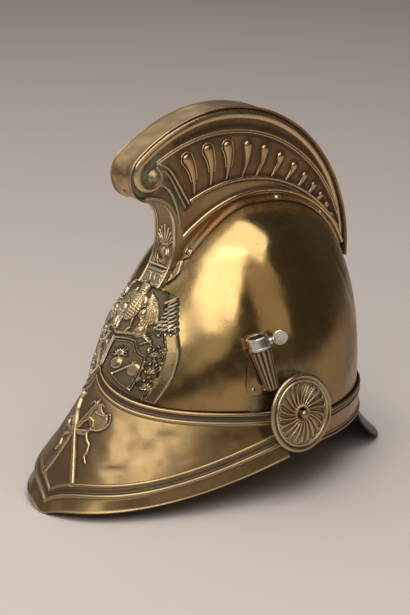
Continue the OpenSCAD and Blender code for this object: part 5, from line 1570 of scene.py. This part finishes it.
collarRing = bare(turned("collarRing", collarOutline, socketLook["mouth"], socketAxis, 64), 0.1, 0.3)
collarBoss = bare(turned("collarBoss", bossOutline, screwFoot, screwAxis, 32), 0.1, 0.3)
dress(joined("socketCollar", [collarRing, collarBoss]), nickelFinish, "socket_collar")

shank = bare(turned("screwShank", shankOutline, screwFoot, screwAxis, 32), 0.1, 0.2)
discSide = np.cross(screwAxis, [0, 0, 1.0])
discMiddle = screwFoot + screwAxis * socketLook["discReach"]
disc = bare(turned("screwDisc", discOutline, discMiddle, discSide, 56), 0.05, 0.5)
dress(joined("thumbScrew", [shank, disc]), nickelFinish, "thumb_screw", "clamp_screw")

bracketLook = {"first": -29.6, "wide": 9.2, "foot": 80, "tall": 32, "rivets": (-27.2, -22.8), "rivetZ": 84.0}


def bracketShape(u, v):
    # a strip on the skull, narrower at its ends
    across = 0.5 + (u - 0.5) * (1 - 0.24 * np.abs(2 * v - 1) ** 6)
    z = bracketLook["foot"] + bracketLook["tall"] * v
    return skullPoint(bracketLook["first"] + bracketLook["wide"] * across, z, 1.8)


def bracketRelief(u, v, points):
    return 0.1 * ripples(points, 14, 61)


def bracketMarks(u, v, points, marks):
    return {"hollow": 0.05, "ridge": 0, "green": 0, "tarnish": 0.25 + 0.4 * (1 - v)}


bracket = pressedSheet("socketPatch", 40, 60, bracketShape, (0, 0, 90), 1.1, bracketRelief, bracketMarks)
dress(bracket, skullBrass, "socket_bracket")
patchSpots = [(skullPoint(a, bracketLook["rivetZ"], 2.0), skullNormal(a, bracketLook["rivetZ"]))
              for a in bracketLook["rivets"]]
dress(copiesAt(rivetModel(1.4, 0.7), "socketRivets", patchSpots), rivetBrass, "socket_rivets")
print("plume socket made")

linerLook = {"wall": 1.2, "gap": 5, "leather": 2, "bandFoot": 52, "bandTop": 84, "stitches": 150, "seams": (54.6, 81.4),
             "tongues": 8, "tongueLeather": 1.8, "laceRadius": 22, "laceZ": 150, "strand": 1.3, "laceLift": 2.2,
             "rivetZ": 58.0, "rivetAngles": (0, 45, 90, 135, 180, 225, 315)}
bindingLook = {"middleZ": 50.5, "tall": 2.05, "inside": -3.8, "wide": 2.0, "stitches": 160, "stitchDepth": 0.06}


def bandShape(u, v):
    z = linerLook["bandFoot"] + (linerLook["bandTop"] - linerLook["bandFoot"]) * v
    return skullPoint(360 * u, z, -linerLook["wall"] - linerLook["gap"])


def bandRelief(u, v, points):
    thread = np.clip(np.sin(2 * np.pi * u * linerLook["stitches"]) * 3, 0, 1)
    height = 0.25 * ripples(points, 26, 71) + 0.1 * ripples(points, 9, 72)
    for seam in linerLook["seams"]:
        away = points[..., 2] - seam
        height = height + hill(away, 0.45, 0.45) * thread - hill(away, 1.0, 0.3)
    return height


sweatband = pressedSheet("sweatBand", 480, 60, bandShape, (0, 0, 68), linerLook["leather"], bandRelief, closed=True,
                         hollowScale=0.4)
dress(sweatband, linerLeather, "sweatband")


def bindingShape(u, v):
    # a strip with rounded corners round the skull's lower edge
    b = 2 * np.pi * v
    gap = bindingLook["inside"] + bindingLook["wide"] * signedPower(np.cos(b), 0.5)
    gap = gap + bindingLook["stitchDepth"] * np.sin(2 * np.pi * u * bindingLook["stitches"])
    return skullPoint(360 * u, bindingLook["middleZ"] + bindingLook["tall"] * signedPower(np.sin(b), 0.5), gap)


dress(closedTube("linerBinding", 480, 20, bindingShape), bindingLeather, "liner_binding")


def tongueShape(first):
    # a tongue from the band up to the lace, which narrows and leaves the skull on its way
    def shape(u, v):
        spread = (0.46 - 0.12 * v) * (1 - 0.22 * fade(v, 0.86, 0.14) ** 2)
        angle = first + (2 * u - 1) * 360 / linerLook["tongues"] * spread
        foot, share = linerLook["bandTop"] + 0.4, (v * v)[..., None]
        z = foot + (linerLook["laceZ"] - foot) * np.sin(np.pi / 2 * v)
        p = skullPoint(angle, z, -linerLook["wall"] - linerLook["gap"] - 10 * v)
        centre = np.stack([0 * z, axisY(z), z], -1)
        flat = (p - centre) * (1, 1, 0)
        flat /= np.linalg.norm(flat, axis=-1, keepdims=True)
        return p * (1 - share) + (centre + linerLook["laceRadius"] * flat) * share

    return shape


def tongueRelief(u, v, points):
    edge = np.minimum(u, 1 - u) * 30
    seam = hill(edge - 1.6, 0.4, 0.35) * np.clip(np.sin(v * 260) * 3, 0, 1) - 0.25 * hill(edge - 1.6, 0.9)
    sag = -0.8 * np.sin(np.pi * u) * np.sin(np.pi * v)
    return seam + sag + 0.35 * ripples(points, 24, 81) + 0.12 * ripples(points, 8, 82)


tongues = [pressedSheet("tongue" + str(k), 60, 80, tongueShape(360 * k / linerLook["tongues"]), (0, 10, 60),
                        linerLook["tongueLeather"], tongueRelief) for k in range(linerLook["tongues"])]
dress(joined("linerCrown", tongues), linerLeather, "liner_crown")


def laceShape(u, v):
    # a ring of three twisted strands
    a, b = 2 * np.pi * u, 2 * np.pi * v
    thick = linerLook["strand"] * (1 + 0.16 * np.cos(3 * b + 46 * a))
    r = linerLook["laceRadius"] + thick * np.cos(b)
    y = axisY(linerLook["laceZ"]) + r * np.sin(a)
    return np.stack([r * np.cos(a), y, linerLook["laceZ"] + linerLook["laceLift"] + thick * np.sin(b)], -1)


dress(closedTube("linerLace", 420, 18, laceShape), laceFinish, "liner_lace")
linerSpots = [(skullPoint(float(a), linerLook["rivetZ"], -7.8), -skullNormal(float(a), linerLook["rivetZ"]))
              for a in linerLook["rivetAngles"]]
dress(copiesAt(rivetModel(2.0, 0.8), "linerRivets", linerSpots), rivetBrass, "liner_rivets")
print("liner made")

bpy.ops.mesh.primitive_plane_add(size=studio["floorSize"])
floor = newest("studioFloor")
floorFinish = bpy.data.materials.new("studioFloor")
floorFinish.use_nodes = True
floorShader = floorFinish.node_tree.nodes["Principled BSDF"]
floorShader.inputs["Base Color"].default_value = studio["floorTone"]
floorShader.inputs["Roughness"].default_value = studio["floorRough"]
floor.data.materials.append(floorFinish)
